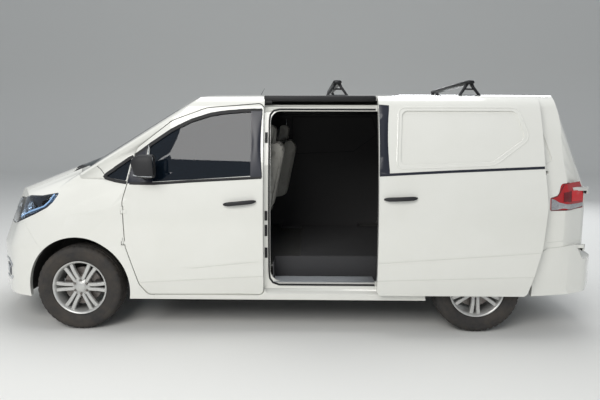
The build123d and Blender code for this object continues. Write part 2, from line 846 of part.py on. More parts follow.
tail_lamp = kept((fresh(panel) & side_cut(tail_lamp_rows, 0, 600)) - barn_opening - ear_holes[1])
save("tail_lamps", both_sides(tail_lamp))

# Floor, step wells, bulkhead and wheel arch liners

rear_liner_cut = arch_cylinder(rear_axle_x, arch_radius + liner_wall, liner_inner_y - liner_wall, 1200)
floor = fresh(cabin) & block(-2425, 1150, -1000, 1000, floor_z - floor_thickness, floor_z)
step_hole = block(step_rear_x, step_front_x, step_inner_y, 1100, 300, 700)
floor = floor - step_hole - right_of(step_hole) - rear_liner_cut - right_of(rear_liner_cut)
floor = floor - block(cab_floor_x, 1150, -1000, 1000, floor_z - cab_floor_drop, floor_z + 10)
floor_beams = [block(-2425, 1150, y - 45, y + 45, floor_z - 150, floor_z - floor_thickness) for y in (-rail_y, rail_y)]
floor = kept(joined([floor, *floor_beams]))
save("floor", floor)
well = block(step_rear_x, step_front_x, step_inner_y, 1100, step_z - 12, floor_z)
well = well - block(step_rear_x + 8, step_front_x - 8, step_inner_y + 8, 1200, step_z, floor_z + 10)
well = kept((well & fresh(cabin)) - side)
save("step_wells", both_sides(well))
firewall = fresh(cabin) & block(1150, 1178, -1000, 1000, 380, 1290)
firewall = kept(firewall - block(1100, 1200, -90, 90, 300, floor_z - floor_thickness))
save("firewall", firewall)


def liner(x, inner_form):
    """A wheel arch liner: half a tube with an inner wall."""
    shell = arch_cylinder(x, arch_radius + liner_wall, liner_inner_y - liner_wall, 1200)
    shell = shell - arch_cylinder(x, arch_radius, liner_inner_y, 1200)
    shell = shell & block(x - 500, x + 500, 400, 1200, axle_z - 40, 900)
    return shell & inner_form


front_liner = kept(liner(front_axle_x, fresh(panel_back)) - side - wing - bumper)
rear_liner = kept(liner(rear_axle_x, fresh(cabin)) - side)
hub_hole = arch_cylinder(rear_axle_x, 70, 400, liner_inner_y + 40)
front_hole = block(front_axle_x - 90, front_axle_x + 90, 400, liner_inner_y + 40, 200, 480)
front_liner = front_liner - front_hole
rear_liner = rear_liner - hub_hole
save("liners_front", both_sides(front_liner))
save("liners_rear", both_sides(rear_liner))

# Wheels: tyre, and a rim with six twin spokes, six lugs and the brake disc on its hub

half = tyre_width / 2
tyre_rows = [
    (bead_radius, bead_half_width - 0.3),
    (flange_radius + 2, bead_half_width - 0.3),
    (flange_radius + 14, half - 8),
    (flange_radius + 56, half),
    (tyre_diameter / 2 - 28, half - 4),
    (tyre_diameter / 2 - 7, half - 15),
    (tyre_diameter / 2, half - 30),
]
tyre_face = make_face(Polyline(*tyre_rows, *[(r, -y) for r, y in reversed(tyre_rows)], close=True))
wheel_plane = Plane(origin=(0, 0, 0), x_dir=(1, 0, 0), z_dir=(0, 0, 1))
tyre = revolve(wheel_plane * tyre_face, Axis.Y, 360)


def ring(inner, outer_radius, y_from, y_to):
    """A flat ring about the wheel's axle."""
    plane = Plane(origin=(0, y_to, 0), x_dir=(1, 0, 0), z_dir=(0, -1, 0))
    face = Circle(outer_radius) - Circle(inner) if inner else Circle(outer_radius)
    return extrude(plane * face, amount=y_to - y_from)


face_out = mount_face + spoke_depth
barrel_half = bead_half_width + flange_thickness
rim_pieces = [
    ring(bead_radius - barrel_wall, bead_radius, -barrel_half, barrel_half),
    ring(bead_radius - 2, flange_radius, bead_half_width, barrel_half),
    ring(bead_radius - 2, flange_radius, -barrel_half, -bead_half_width),
    ring(0, hub_radius, mount_face, face_out - 6),
    ring(0, hub_radius - 12, disc_y - disc_thickness / 2, mount_face),
    ring(0, disc_radius, disc_y - disc_thickness / 2, disc_y + disc_thickness / 2),
]
reach = bead_radius - barrel_wall / 2
spoke_length = reach - 40
for i in range(spoke_pairs):
    turn = 360 * i / spoke_pairs
    for side_sign in (-1, 1):
        bar = Pos(40 + spoke_length / 2, mount_face + spoke_depth / 2, 0) * Box(spoke_length, spoke_depth, spoke_width)
        bar = Pos(0, 0, side_sign * spoke_splay / 2) * (Rot(0, side_sign * -3.5, 0) * bar)
        rim_pieces.append(Rot(0, turn, 0) * bar)
    lug_turn = radians(turn + 180 / spoke_pairs)
    lug_plane = Plane(
        origin=(lug_circle * cos(lug_turn), face_out - 8, lug_circle * sin(lug_turn)),
        z_dir=(0, 1, 0),
    )
    rim_pieces.append(extrude(lug_plane * Circle(lug_radius), amount=lug_height))
rim = joined(rim_pieces) & ring(0, flange_radius, -barrel_half, face_out + 20)
stub_end = mount_face - 6
rim = kept(rim - ring(0, stub_radius + running_fit, -100, stub_end))
for name, x in (("front", front_axle_x), ("rear", rear_axle_x)):
    turned = Rot(0, 0 if name == "front" else 180 / spoke_pairs, 0)
    left_rim = Pos(x, wheel_y, axle_z) * (turned * rim)
    left_tyre = Pos(x, wheel_y, axle_z) * tyre
    save(f"rim_{name}_left", left_rim)
    save(f"rim_{name}_right", right_of(left_rim))
    save(f"tyre_{name}_left", left_tyre)
    save(f"tyre_{name}_right", right_of(left_tyre))

# Front knuckles: a post on pins between two eyes, a stub for the hub and the brake caliper

kingpin_y = wheel_y - kingpin_inset
post_half = kingpin_half_height - eye_height - 1


def caliper(x, y):
    """The brake caliper behind the axle, over the disc."""
    mid = y + disc_y
    body = block(x - 170, x - 112, mid - 26 - 13, mid + 38, axle_z - 52, axle_z + 52)
    slot = block(x - 160, x + 200, mid - disc_thickness / 2 - 5, mid + disc_thickness / 2 + 5, 0, 900)
    clear = rod((x, mid - 100, axle_z), (x, mid + 100, axle_z), hub_radius + 30)
    return body - slot - clear


knuckle = joined([
    rod((front_axle_x, kingpin_y, axle_z - post_half), (front_axle_x, kingpin_y, axle_z + post_half), knuckle_radius),
    rod((front_axle_x, kingpin_y, axle_z - kingpin_half_height), (front_axle_x, kingpin_y, axle_z + kingpin_half_height), kingpin_radius),
    rod((front_axle_x, kingpin_y, axle_z), (front_axle_x, wheel_y + stub_end - axial_clearance, axle_z), stub_radius),
    block(front_axle_x - 150, front_axle_x, kingpin_y - 10, wheel_y + disc_y - disc_thickness / 2 - 5, axle_z - 24, axle_z + 24),
    caliper(front_axle_x, wheel_y),
])
knuckle = kept(knuckle)
save("knuckle_left", knuckle)
save("knuckle_right", right_of(knuckle))

# Front subframe with rails, cross member, lower arms, struts and their eyes

lower_eye_z = axle_z - kingpin_half_height
upper_eye_z = axle_z + kingpin_half_height - eye_height
strut_y = kingpin_y - 125
strut_top = axle_z + arch_radius - 2
arm_half = [
    rod((front_axle_x, kingpin_y, lower_eye_z), (front_axle_x, kingpin_y, lower_eye_z + eye_height), eye_radius),
    rod((front_axle_x, kingpin_y, upper_eye_z), (front_axle_x, kingpin_y, upper_eye_z + eye_height), eye_radius),
    block(front_axle_x - 20, front_axle_x + 20, rail_y, kingpin_y, lower_eye_z + 4, lower_eye_z + 26),
    block(front_axle_x - 18, front_axle_x + 18, strut_y - 30, kingpin_y, upper_eye_z + 3, upper_eye_z + 27),
    rod((front_axle_x, strut_y, upper_eye_z), (front_axle_x, strut_y, strut_top), 29),
]
arms = joined(arm_half)
bore = rod((front_axle_x, kingpin_y, 0), (front_axle_x, kingpin_y, 900), kingpin_radius + running_fit)
arms = arms - bore
rails = block(1178, 2400, rail_y - 35, rail_y + 35, 390, 470)
mounts_low = block(front_axle_x - 60, front_axle_x + 60, -rail_y - 35, rail_y + 35, lower_eye_z + 4, 390)
subframe = joined([arms, right_of(arms), rails, right_of(rails), mounts_low])
save("front_frame", kept(subframe))
engine = block(1340, 2050, -280, 280, 390, 1020)
save("engine", engine)
radiator = block(2280, 2340, -rail_y + 40, rail_y - 40, 330, 860) + block(2290, 2330, -rail_y - 20, rail_y + 20, 470, 520)
save("radiator", radiator)

# Rear axle: a beam with hub carriers and calipers, and the final drive

carrier_y = wheel_y - kingpin_inset
rear_half = joined([
    rod((rear_axle_x, 0, axle_z), (rear_axle_x, carrier_y, axle_z), 42),
    rod((rear_axle_x, carrier_y, axle_z), (rear_axle_x, wheel_y + stub_end - axial_clearance, axle_z), stub_radius),
    block(rear_axle_x - 150, rear_axle_x, carrier_y - 10, wheel_y + disc_y - disc_thickness / 2 - 5, axle_z - 24, axle_z + 24),
    block(rear_axle_x - 40, rear_axle_x + 40, carrier_y - 10, carrier_y + 14, axle_z - 50, axle_z + 50),
    caliper(rear_axle_x, wheel_y),
    block(rear_axle_x - 45, rear_axle_x + 45, rail_y - 40, rail_y + 40, axle_z, floor_z - 150),
])
final_drive = block(rear_axle_x - 110, rear_axle_x + 150, -110, 110, axle_z - 95, axle_z + 95)
rear_axle = kept(joined([rear_half, right_of(rear_half), final_drive]))
save("rear_axle", rear_axle)
propshaft = rod((rear_axle_x + 150, 0, axle_z), (1340, 0, axle_z + 60), 34)
propshaft = propshaft - block(1340, 1500, -100, 100, 0, 900) - final_drive
save("propshaft", kept(propshaft))

# Exhaust, fuel tank and spare wheel below the floor

exhaust = joined([
    rod((1000, -220, 330), (-1180, -220, 330), 30),
    rod((-600, -220, 330), (-1150, -220, 330), 95),
    rod((-1150, -220, 330), (-1290, -290, 470), 30),
    rod((-1290, -290, 470), (-1640, -290, 470), 30),
    rod((-1640, -290, 470), (-1740, -300, 370), 30),
    rod((-1740, -300, 370), (-1960, -420, 345), 30),
    rod((-1960, -420, 345), (-2430, -520, 315), 30),
    block(900, 925, -235, -205, 340, floor_z - floor_thickness),
    block(-900, -870, -235, -205, 400, floor_z - floor_thickness),
    block(-1500, -1475, -305, -275, 480, floor_z - floor_thickness),
])
save("exhaust", kept(exhaust))
tank = fillet(block(-700, 250, 80, 350, 290, floor_z - floor_thickness).edges().filter_by(Axis.X), 40)
save("fuel_tank", tank)
spare_flat = revolve(Plane.XZ * make_face(Polyline(*[(r, y) for r, y in tyre_rows], *[(r, -y) for r, y in reversed(tyre_rows)], close=True)), Axis.Z, 360)
spare_disc = Pos(0, 0, 0) * Cylinder(bead_radius, 30)
spare = Pos(spare_x, 0, 300 + half) * (spare_flat + spare_disc)
spare = spare + block(spare_x - 15, spare_x + 15, -15, 15, 300 + half, floor_z - floor_thickness)
save("spare_wheel", kept(spare))

# Cab: dashboard, steering wheel, seats; steering is on the right

dash_rows = [
    (1150, 800, 0),
    (1150, 1190, 30),
    (900, 1150, 60),
    (760, 1060, 60),
    (780, 900, 60),
    (900, 700, 40),
    (1010, 640, 20),
    (1150, 640, 0),
]
dash = side_prism(face_of(dash_rows), -840, 840)
dash = kept(dash & body_form(side_wall + 6))
save("dashboard", dash)
wheel_centre = (735, -seat_y, 1065)
wheel_axis = Plane(origin=wheel_centre, z_dir=(-cos(radians(28)), 0, sin(radians(28))))
steering = Torus(190, 15)
steering = steering + Box(360, 36, 14) + Pos(0, -92, 0) * Box(34, 180, 14) + Cylinder(55, 44)
steering = wheel_axis * steering
column = rod((735, -seat_y, 1065), (900, -seat_y, 977), 32)
steering_wheel = kept((steering + column) - dash)
save("steering_wheel", steering_wheel)


def seat(y, half_width, facing_x):
    """A cab seat: plinth, cushion, back and head restraint."""
    plinth = block(facing_x - 430, facing_x - 60, y - half_width + 40, y + half_width - 40, floor_z - cab_floor_drop, 800)
    cushion = block(facing_x - 480, facing_x, y - half_width, y + half_width, 800, 930)
    cushion = fillet(cushion.edges().filter_by(Axis.Y), 45)
    back_rows = [
        (facing_x - 410, 930.3, 10),
        (facing_x - 580, 934, 40),
        (facing_x - 700, 1520, 60),
        (facing_x - 590, 1530, 50),
    ]
    back = side_prism(face_of(back_rows), y - half_width + 10, y + half_width - 10)
    head_rows = [
        (facing_x - 500, 1490, 30),
        (facing_x - 600, 1487, 40),
        (facing_x - 620, 1680, 45),
        (facing_x - 530, 1682, 40),
    ]
    head = side_prism(face_of(head_rows), y - 130, y + 130)
    back = joined([back, head])
    return Compound(children=[plinth, cushion, kept(back)])


save("seat_driver", seat(-seat_y, 255, driver_front_x))
save("seat_passenger", seat(seat_y, 255, passenger_front_x))

# Roof bars: two oval bars on feet at the gutters

bars = []
for x in bar_places:
    bar = extrude(
        Plane(origin=(x, bar_half, bar_z), x_dir=(1, 0, 0), z_dir=(0, -1, 0)) * SlotOverall(bar_chord, bar_height),
        amount=2 * bar_half,
    )
    foot_rows = [
        (x - foot_length / 2, roof_z - 60, 0),
        (x - 34, bar_z - 10, 8),
        (x + 34, bar_z - 10, 8),
        (x + foot_length / 2, roof_z - 60, 0),
    ]
    foot = side_prism(face_of(foot_rows), bar_half - 70, bar_half + 30)
    bars.append(joined([bar, foot, right_of(foot)]) - fresh(outer))
save("roof_bars", Compound(children=[solid for bar in bars for solid in kept(bar).solids()]))
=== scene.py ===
from math import cos, hypot, pi, radians, sin

import bmesh
import bpy
from mathutils import Matrix, Vector
from mathutils.bvhtree import BVHTree
from mathutils.geometry import delaunay_2d_cdt


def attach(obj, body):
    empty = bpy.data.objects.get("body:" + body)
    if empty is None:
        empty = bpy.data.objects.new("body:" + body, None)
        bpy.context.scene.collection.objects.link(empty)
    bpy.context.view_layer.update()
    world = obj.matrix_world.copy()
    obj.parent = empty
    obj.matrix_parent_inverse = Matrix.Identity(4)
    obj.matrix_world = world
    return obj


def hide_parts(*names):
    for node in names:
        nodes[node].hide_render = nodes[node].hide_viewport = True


# A one-box panel van with its left sliding door open. Metres, in the row's frame.

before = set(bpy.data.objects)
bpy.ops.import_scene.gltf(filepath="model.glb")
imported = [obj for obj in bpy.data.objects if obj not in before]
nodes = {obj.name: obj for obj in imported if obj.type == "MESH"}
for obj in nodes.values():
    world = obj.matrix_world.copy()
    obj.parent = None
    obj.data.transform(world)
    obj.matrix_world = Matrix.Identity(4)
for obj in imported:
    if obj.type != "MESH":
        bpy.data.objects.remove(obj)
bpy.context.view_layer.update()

# Body panels.
# Pressed steel skins, hemmed at their edges and sprayed white, with dark linings on their inner faces.
# Each is the shape of its solid, pressed further with the body's feature lines.


def colour(code):
    """The linear colour of an sRGB hex code."""
    parts = [int(code[i:i + 2], 16) / 255 for i in (1, 3, 5)]
    return tuple(c / 12.92 if c <= 0.04045 else ((c + 0.055) / 1.055) ** 2.4 for c in parts) + (1.0,)


def add_node(material, kind, settings=None, links=None):
    """Adds a node with its settings and the sockets that feed it."""
    node = material.node_tree.nodes.new(kind)
    for name, value in (settings or {}).items():
        if name in node.inputs:
            node.inputs[name].default_value = value
        else:
            setattr(node, name, value)
    for name, source in (links or {}).items():
        material.node_tree.links.new(source, node.inputs[name])
    return node


def new_material(name):
    """An empty material and its shader."""
    material = bpy.data.materials.new(name)
    material.use_nodes = True
    shader = material.node_tree.nodes["Principled BSDF"]
    return material, shader


def wire(material, source, node, socket):
    """Feeds a socket from another."""
    material.node_tree.links.new(source, node.inputs[socket])


def worn(name, light, dark, grain, share, roughness, bump, metallic=0.0, spread=0.08, bevel=0.0, coat=0.0):
    """A finish that varies between two colours over patches of size grain, with a bump of the same grain."""
    material, shader = new_material(name)
    place = add_node(material, "ShaderNodeTexCoord")
    patches = add_node(material, "ShaderNodeTexNoise", {"Scale": 1 / grain, "Detail": 5.0, "Roughness": 0.6},
        {"Vector": place.outputs["Object"]})
    ramp = add_node(material, "ShaderNodeMapRange", {"From Min": 0.5 - share, "From Max": 0.5 + share},
        {"Value": patches.outputs["Fac"]})
    mix = add_node(material, "ShaderNodeMix", {"data_type": "RGBA"}, {"Factor": ramp.outputs["Result"]})
    mix.inputs["A"].default_value = colour(dark)
    mix.inputs["B"].default_value = colour(light)
    rough = add_node(material, "ShaderNodeMapRange", {"To Min": roughness - spread,
        "To Max": roughness + spread}, {"Value": patches.outputs["Fac"]})
    wire(material, mix.outputs["Result"], shader, "Base Color")
    wire(material, rough.outputs["Result"], shader, "Roughness")
    shader.inputs["Metallic"].default_value = metallic
    shader.inputs["Coat Weight"].default_value = coat
    shader.inputs["Coat Roughness"].default_value = 0.04
    normal = None
    if bevel:
        normal = add_node(material, "ShaderNodeBevel", {"samples": 4, "Radius": bevel}).outputs["Normal"]
    if bump:
        bumped = add_node(material, "ShaderNodeBump", {"Strength": 0.6, "Distance": bump},
            {"Height": patches.outputs["Fac"]})
        if normal:
            wire(material, normal, bumped, "Normal")
        normal = bumped.outputs["Normal"]
    if normal:
        wire(material, normal, shader, "Normal")
    return material


# White body enamel under clear lacquer: bright, even, faintly warm, with sharp reflections
enamel = worn("white_enamel", "#E6E6E0", "#E1E1DA", 0.35, 0.3, 0.32, 0.0, bevel=0.0035, coat=1.0, spread=0.03)
# Hardboard and moulded polypropylene linings: nearly black, with a fine grain
lining = worn("dark_lining", "#3C3B3B", "#323233", 0.012, 0.3, 0.7, 0.0006)
# Needled carpet and sound deadening inside the cab
trim_dark = worn("moulded_trim", "#3A3A3C", "#333335", 0.01, 0.3, 0.6, 0.0005, bevel=0.003)


def as_piece(name, mesh, body, material):
    """A mesh as a piece that rides on a body."""
    piece = bpy.data.objects.new(name, mesh)
    bpy.context.scene.collection.objects.link(piece)
    if material and not mesh.materials:
        mesh.materials.append(material)
    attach(piece, body)
    return piece


def from_lists(name, verts, faces, body, slot, material, sharp=32):
    """A piece from lists of points and faces, smooth except at edges sharper than the angle."""
    mesh = bpy.data.meshes.new(name)
    mesh.from_pydata([tuple(v) for v in verts], [], [tuple(f) for f in faces])
    mesh.validate()
    mesh.shade_smooth()
    mesh.set_sharp_from_angle(angle=radians(sharp))
    return as_piece(name, mesh, body, material)


def finish_nodes(material, *names):
    """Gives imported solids, whose shapes stay, their real finish."""
    for name in names:
        nodes[name].data.materials.clear()
        nodes[name].data.materials.append(material)


def circle_through(p, q, r):
    """The centre and radius of the circle through three points."""
    a, b = q - p, r - p
    d = 2 * (a.x * b.y - a.y * b.x)
    ux = (b.y * a.length_squared - a.y * b.length_squared) / d
    uy = (a.x * b.length_squared - b.x * a.length_squared) / d
    return p + Vector((ux, uy)), hypot(ux, uy)


# The flank's section as arcs, each through three points of (half width, height)
flank_points = [Vector(p) / 1000 for p in ((942, 130), (990, 700), (965, 1200), (925, 1450), (835, 1780),
    (799, 1848), (700, 1892))]
flank_arcs = [(flank_points[i].y, flank_points[i + 2].y,
    *circle_through(*flank_points[i:i + 3])) for i in (0, 2, 4)]


def flank(z):
    """Half width and its slope at a height."""
    for low, high, centre, radius in flank_arcs:
        if z <= high or high > 1.85:
            rise = max(-0.999, min(0.999, (z - centre.y) / radius))
            reach = (1 - rise * rise) ** 0.5
            return centre.x + radius * reach, -rise / reach
    return 0.7, -3.0


def press_at(creases, x, z):
    """How deep the feature lines press at (x, z), and the press's slopes along x and z."""
    total, slope = 0.0, Vector((0, 0))
    for (x0, z0), (x1, z1), profile, fade in creases:
        along = Vector((x1 - x0, z1 - z0)).normalized()
        across = Vector((-along.y, along.x)) if along.x > 0 else Vector((along.y, -along.x))
        offset = Vector((x - x0, z - z0))
        height, run = offset.dot(across), offset.dot(along)
        length = hypot(x1 - x0, z1 - z0)
        if run < -0.02 or run > length + 0.02:
            continue
        depth, steep = (profile[0][1] if height < profile[0][0] else profile[-1][1]), 0.0
        for (d0, p0), (d1, p1) in zip(profile, profile[1:]):
            if d0 <= height <= d1:
                steep = (p1 - p0) / (d1 - d0)
                depth = p0 + steep * (height - d0)
        ends = max(0.0, min(1.0, run / fade, (length - run) / fade)) if fade else 1.0
        total += depth * ends
        slope += across * (steep * ends)
    return total, slope


def flank_normals(mesh, side, creases, out):
    """Gives the outer faces of a flank, which stands out by a distance, the true normals of its section."""
    normals = [(0.0, 0.0, 0.0)] * len(mesh.loops)
    for face in mesh.polygons:
        if face.normal.y * side < 0.45:
            continue
        centre = face.center
        press, slope = press_at(creases, centre.x, centre.z)
        below = flank(centre.z)[0] + out - press - abs(centre.y)
        if not -0.004 < below < 0.014:
            continue
        facing = Vector((slope.x, side, slope.y - flank(centre.z)[1])).normalized()
        if facing.dot(face.normal) < 0.97:
            continue
        for i in face.loop_indices:
            vert = mesh.vertices[mesh.loops[i].vertex_index].co
            lean = flank(vert.z)[1]
            normals[i] = tuple(Vector((slope.x, side, slope.y - lean)).normalized())
    mesh.normals_split_custom_set(normals)


def pressed(node, body, side, creases, inner=None, sharp=28):
    """The solid of a panel with feature lines pressed in, its inner faces lined."""
    mesh = nodes[node].data.copy()
    mesh.materials.clear()
    mesh.materials.append(enamel)
    if inner:
        mesh.materials.append(inner)
    grid = bmesh.new()
    grid.from_mesh(mesh)
    bmesh.ops.remove_doubles(grid, verts=grid.verts, dist=0.00002)
    for (x0, z0), (x1, z1), profile, fade in creases:
        along = Vector((x1 - x0, 0, z1 - z0)).normalized()
        across = Vector((-along.z, 0, along.x))
        if across.z < 0:
            across = -across
        for distance, _ in profile:
            point = Vector((x0, 0, z0)) + across * distance
            everything = grid.verts[:] + grid.edges[:] + grid.faces[:]
            bmesh.ops.bisect_plane(grid, geom=everything, plane_co=point, plane_no=across, dist=0.00001)
    grid.normal_update()
    for vert in grid.verts:
        if any(face.normal.y * side > 0.45 for face in vert.link_faces):
            vert.co.y -= side * press_at(creases, vert.co.x, vert.co.z)[0]
    if inner:
        for face in grid.faces:
            inward = face.normal.y * side < -0.35 or face.normal.z < -0.6 and node == "roof"
            if inward or face.normal.x > 0.6 and node.startswith("barn"):
                face.material_index = 1
    grid.to_mesh(mesh)
    grid.free()
    mesh.shade_smooth()
    mesh.set_sharp_from_angle(angle=radians(sharp))
    if side_name in node and not node.startswith("barn"):
        flank_normals(mesh, side, creases, 0.078 if node == "sliding_door_left" else 0.0)
    piece = as_piece(node + "_skin", mesh, body, None)
    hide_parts(node)
    return piece


# Depth of the press at distances above and below each feature line of the doors
sill_press = [(-0.150, 0.015), (-0.012, 0.004), (0.0, 0.0)]
waist_press = [(-0.030, 0.006), (-0.010, 0.005), (0.0, 0.001), (0.012, 0.0)]
sides = (("left", 1), ("right", -1))
for side_name, side in sides:
    front_lines = [((0.10, 0.595), (0.80, 0.518), waist_press, 0.15), ((0.10, 0.468), (1.20, 0.404), sill_press,
        0.0),]
    shift = -0.885 if side == 1 else 0.0
    slide_lines = [((-1.20 + shift, 0.690), (0.14 + shift, 0.594), waist_press, 0.0), ((-1.20 + shift, 0.496),
        (0.14 + shift, 0.452), sill_press, 0.0)]
    quarter_lines = [((-2.52, 0.792), (-1.98, 0.742), [(-0.030, 0.006), (-0.008, 0.005), (0.0, 0.0)], 0.0)]
    pressed(f"door_{side_name}", f"door_{side_name}", side, front_lines, trim_dark)
    pressed(f"sliding_door_{side_name}", "body", side, slide_lines, lining)
    pressed(f"side_{side_name}", "body", side, quarter_lines, lining)
    pressed(f"wing_{side_name}", "body", side, [])
    pressed(f"barn_{side_name}", f"barn_{side_name}", side, [], lining)
for node, body in (("roof", "body"), ("bonnet", "bonnet"), ("bumper_front", "body"), ("bumper_rear", "body")):
    pressed(node, body, 1, [], lining if node == "roof" else None)

# Where a trim lies on the body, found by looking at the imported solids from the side

trees = {}


def tree_of(names):
    """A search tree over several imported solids."""
    key = tuple(names)
    if key not in trees:
        verts, faces, recess = [], [], []
        for name in names:
            mesh = nodes[name].data
            start = len(verts)
            verts.extend(v.co.copy() for v in mesh.vertices)
            faces.extend([start + i for i in p.vertices] for p in mesh.polygons)
            recess.extend([0.009 if "glass" in name else 0.0] * len(mesh.polygons))
        trees[key] = BVHTree.FromPolygons(verts, faces), recess
    return trees[key]


def on_skin(names, a, z, side=1, look="side", start=1.4):
    """The point and normal where a ray from a side, an end or the top meets the solids."""
    if look == "side":
        origin, direction = Vector((a, side * start, z)), Vector((0, -side, 0))
    elif look == "front":
        origin, direction = Vector((3.2, a, z)), Vector((-1, 0, 0))
    elif look == "back":
        origin, direction = Vector((-3.2, a, z)), Vector((1, 0, 0))
    else:
        origin, direction = Vector((a, z, 2.6)), Vector((0, 0, -1))
    tree, recess = tree_of(names)
    point, normal, index, _ = tree.ray_cast(origin, direction)
    if point is None:
        return None, None
    if normal.dot(direction) > 0:
        normal = -normal
    return point + normal * recess[index], normal


def spaced(rows, step, closed=False):
    """Points at an even step along a path of (a, b) rows in millimetres, in metres."""
    points = [Vector((a / 1000, b / 1000)) for a, b in rows]
    if closed:
        points.append(points[0])
    out = []
    for p, q in zip(points, points[1:]):
        count = max(1, round((q - p).length / step))
        out.extend(p.lerp(q, i / count) for i in range(count))
    if not closed:
        out.append(points[-1])
    return out


def rounded(rows, radius, parts=5):
    """The closed outline of rows with its corners rounded, in the rows' own unit."""
    out = []
    count = len(rows)
    for i in range(count):
        p, c, n = Vector(rows[i - 1]), Vector(rows[i]), Vector(rows[(i + 1) % count])
        r = radius if not hasattr(radius, "__len__") else radius[i]
        a, b = (p - c), (n - c)
        cut = min(r, a.length * 0.45, b.length * 0.45)
        start, end = c + a.normalized() * cut, c + b.normalized() * cut
        for k in range(parts + 1):
            t = k / parts
            out.append(tuple((start * (1 - t) + c * t) * (1 - t) + (c * (1 - t) + end * t) * t))
    return out


def ribbon(name, rows, half_width, rise, names, body, slot, material, side=1, look="side", closed=False,
        step=0.02, sink=0.009):
    """A moulding that follows the skin along a path."""
    spots = []
    for p in spaced(rows, step, closed):
        point, normal = on_skin(names, p.x, p.y, side, look)
        if point is not None:
            spots.append((point, normal))
    count = len(spots)
    if count < 2:
        return None
    profile = [(-1.0, -sink), (-1.0, rise * 0.55), (-0.6, rise), (0.6, rise), (1.0, rise * 0.55), (1.0, -sink)]
    verts, faces = [], []
    for i, (point, normal) in enumerate(spots):
        before = spots[i - 1][0] if i or closed else point
        after = spots[(i + 1) % count][0] if i < count - 1 or closed else point
        along = (after - before).normalized()
        across = normal.cross(along).normalized()
        up = along.cross(across).normalized()
        verts.extend(point + across * (w * half_width) + up * r for w, r in profile)
    k = len(profile)
    for i in range(count if closed else count - 1):
        a, b = i * k, ((i + 1) % count) * k
        faces.extend((a + j, a + j + 1, b + j + 1, b + j) for j in range(k - 1))
    if not closed:
        faces.append(tuple(range(k)))
        faces.append(tuple(reversed(range((count - 1) * k, count * k))))
    return from_lists(name, verts, faces, body, slot, material, 50)


def plate(name, rows, rise, names, body, slot, material, side=1, look="side", step=0.03, sink=0.009, crown=0.0):
    """A thin plate that lies on the skin inside an outline."""
    outline = [(a / 1000, b / 1000) for a, b in rows]
    low = (min(a for a, _ in outline), min(b for _, b in outline))
    high = (max(a for a, _ in outline), max(b for _, b in outline))
    centre = Vector(((low[0] + high[0]) / 2, (low[1] + high[1]) / 2))
    points = [Vector(p) for p in outline]
    inner = []
    a = low[0] + step / 2
    while a < high[0]:
        b = low[1] + step / 2
        while b < high[1]:
            inner.append(Vector((a, b)))
            b += step
        a += step
    ring = list(range(len(points)))
    flat, _, tris, _, _, _ = delaunay_2d_cdt(points + inner, [], [ring], 1, 1e-6)
    used = sorted({i for t in tris for i in t})
    where = {}
    verts = []
    found = {i: on_skin(names, flat[i].x, flat[i].y, side, look) for i in used}
    hits = [i for i in used if found[i][0] is not None]
    for i in used:
        point, normal = found[i]
        if point is None:
            near = min(hits, key=lambda k: (flat[k] - flat[i]).length)
            point, normal = found[near]
            point = point.copy()
            if look == "side":
                point.x, point.z = flat[i]
            elif look == "top":
                point.x, point.y = flat[i]
            else:
                point.y, point.z = flat[i]
        bulge = 0.0
        if crown:
            u = abs(flat[i].x - centre.x) / max(1e-6, (high[0] - low[0]) / 2)
            v = abs(flat[i].y - centre.y) / max(1e-6, (high[1] - low[1]) / 2)
            bulge = crown * (1 - max(u, v) ** 2)
        where[i] = len(verts)
        verts.append(point + normal * (rise + bulge))
    faces = [tuple(where[i] for i in t) for t in tris]
    edges = {}
    for t in faces:
        for i in range(3):
            e = (t[i], t[(i + 1) % 3])
            edges[e] = edges.get(e, 0) + 1
    rim = [e for e in edges if (e[1], e[0]) not in edges]
    lower = {}
    for p, q in rim:
        for i in (p, q):
            if i not in lower:
                lower[i] = len(verts)
                if look == "side":
                    inward = Vector((0, -side, 0))
                else:
                    inward = {"front": Vector((-1, 0, 0)), "back": Vector((1, 0, 0)),
                        "top": Vector((0, 0, -1))}[look]
                verts.append(verts[i] + inward * (rise + sink))
    faces.extend((q, p, lower[p], lower[q]) for p, q in rim)
    return from_lists(name, verts, faces, body, slot, material, 40)


# Glass.
# Toughened side and tail glass and a laminated windscreen, tinted blue grey.
# The panes are bonded or run in channels, and lie a little below the frames.


def glazing(name, tint, roughness=0.0, share=1.0):
    """Pane glass with a tint in its depth, and a share of the light let through."""
    material, shader = new_material(name)
    shader.inputs["Base Color"].default_value = colour(tint)
    shader.inputs["Roughness"].default_value = roughness
    shader.inputs["Transmission Weight"].default_value = share
    shader.inputs["IOR"].default_value = 1.45
    place = add_node(material, "ShaderNodeTexCoord")
    haze = add_node(material, "ShaderNodeTexNoise", {"Scale": 3.0, "Detail": 2.0},
        {"Vector": place.outputs["Object"]})
    bumped = add_node(material, "ShaderNodeBump", {"Strength": 0.05, "Distance": 0.0004},
        {"Height": haze.outputs["Fac"]})
    wire(material, bumped.outputs["Normal"], shader, "Normal")
    return material


side_glass = glazing("tinted_side_glass", "#1F2C3A", share=0.72)
screen_glass = glazing("laminated_screen_glass", "#4E606C", share=0.85)
finish_nodes(side_glass, "door_glass_left", "door_glass_right", "quarter_glass", "barn_glass_left",
    "barn_glass_right")
finish_nodes(screen_glass, "windscreen")

# Window seals and pillar covers.
# Extruded EPDM rubber round the glass, and a glossy black moulding on the door's rear post.
# The seals grip the frame's flange and cover its edge.

# Rubber: deep black with a soft sheen and a skin of dust
rubber = worn("epdm_rubber", "#1C1C1E", "#141416", 0.006, 0.3, 0.62, 0.0004)
# Gloss black acrylic: near black, slightly blue, with sharp reflections
gloss_black = worn("gloss_black_acrylic", "#171B2A", "#151824", 0.2, 0.3, 0.34, 0.0, spread=0.04)
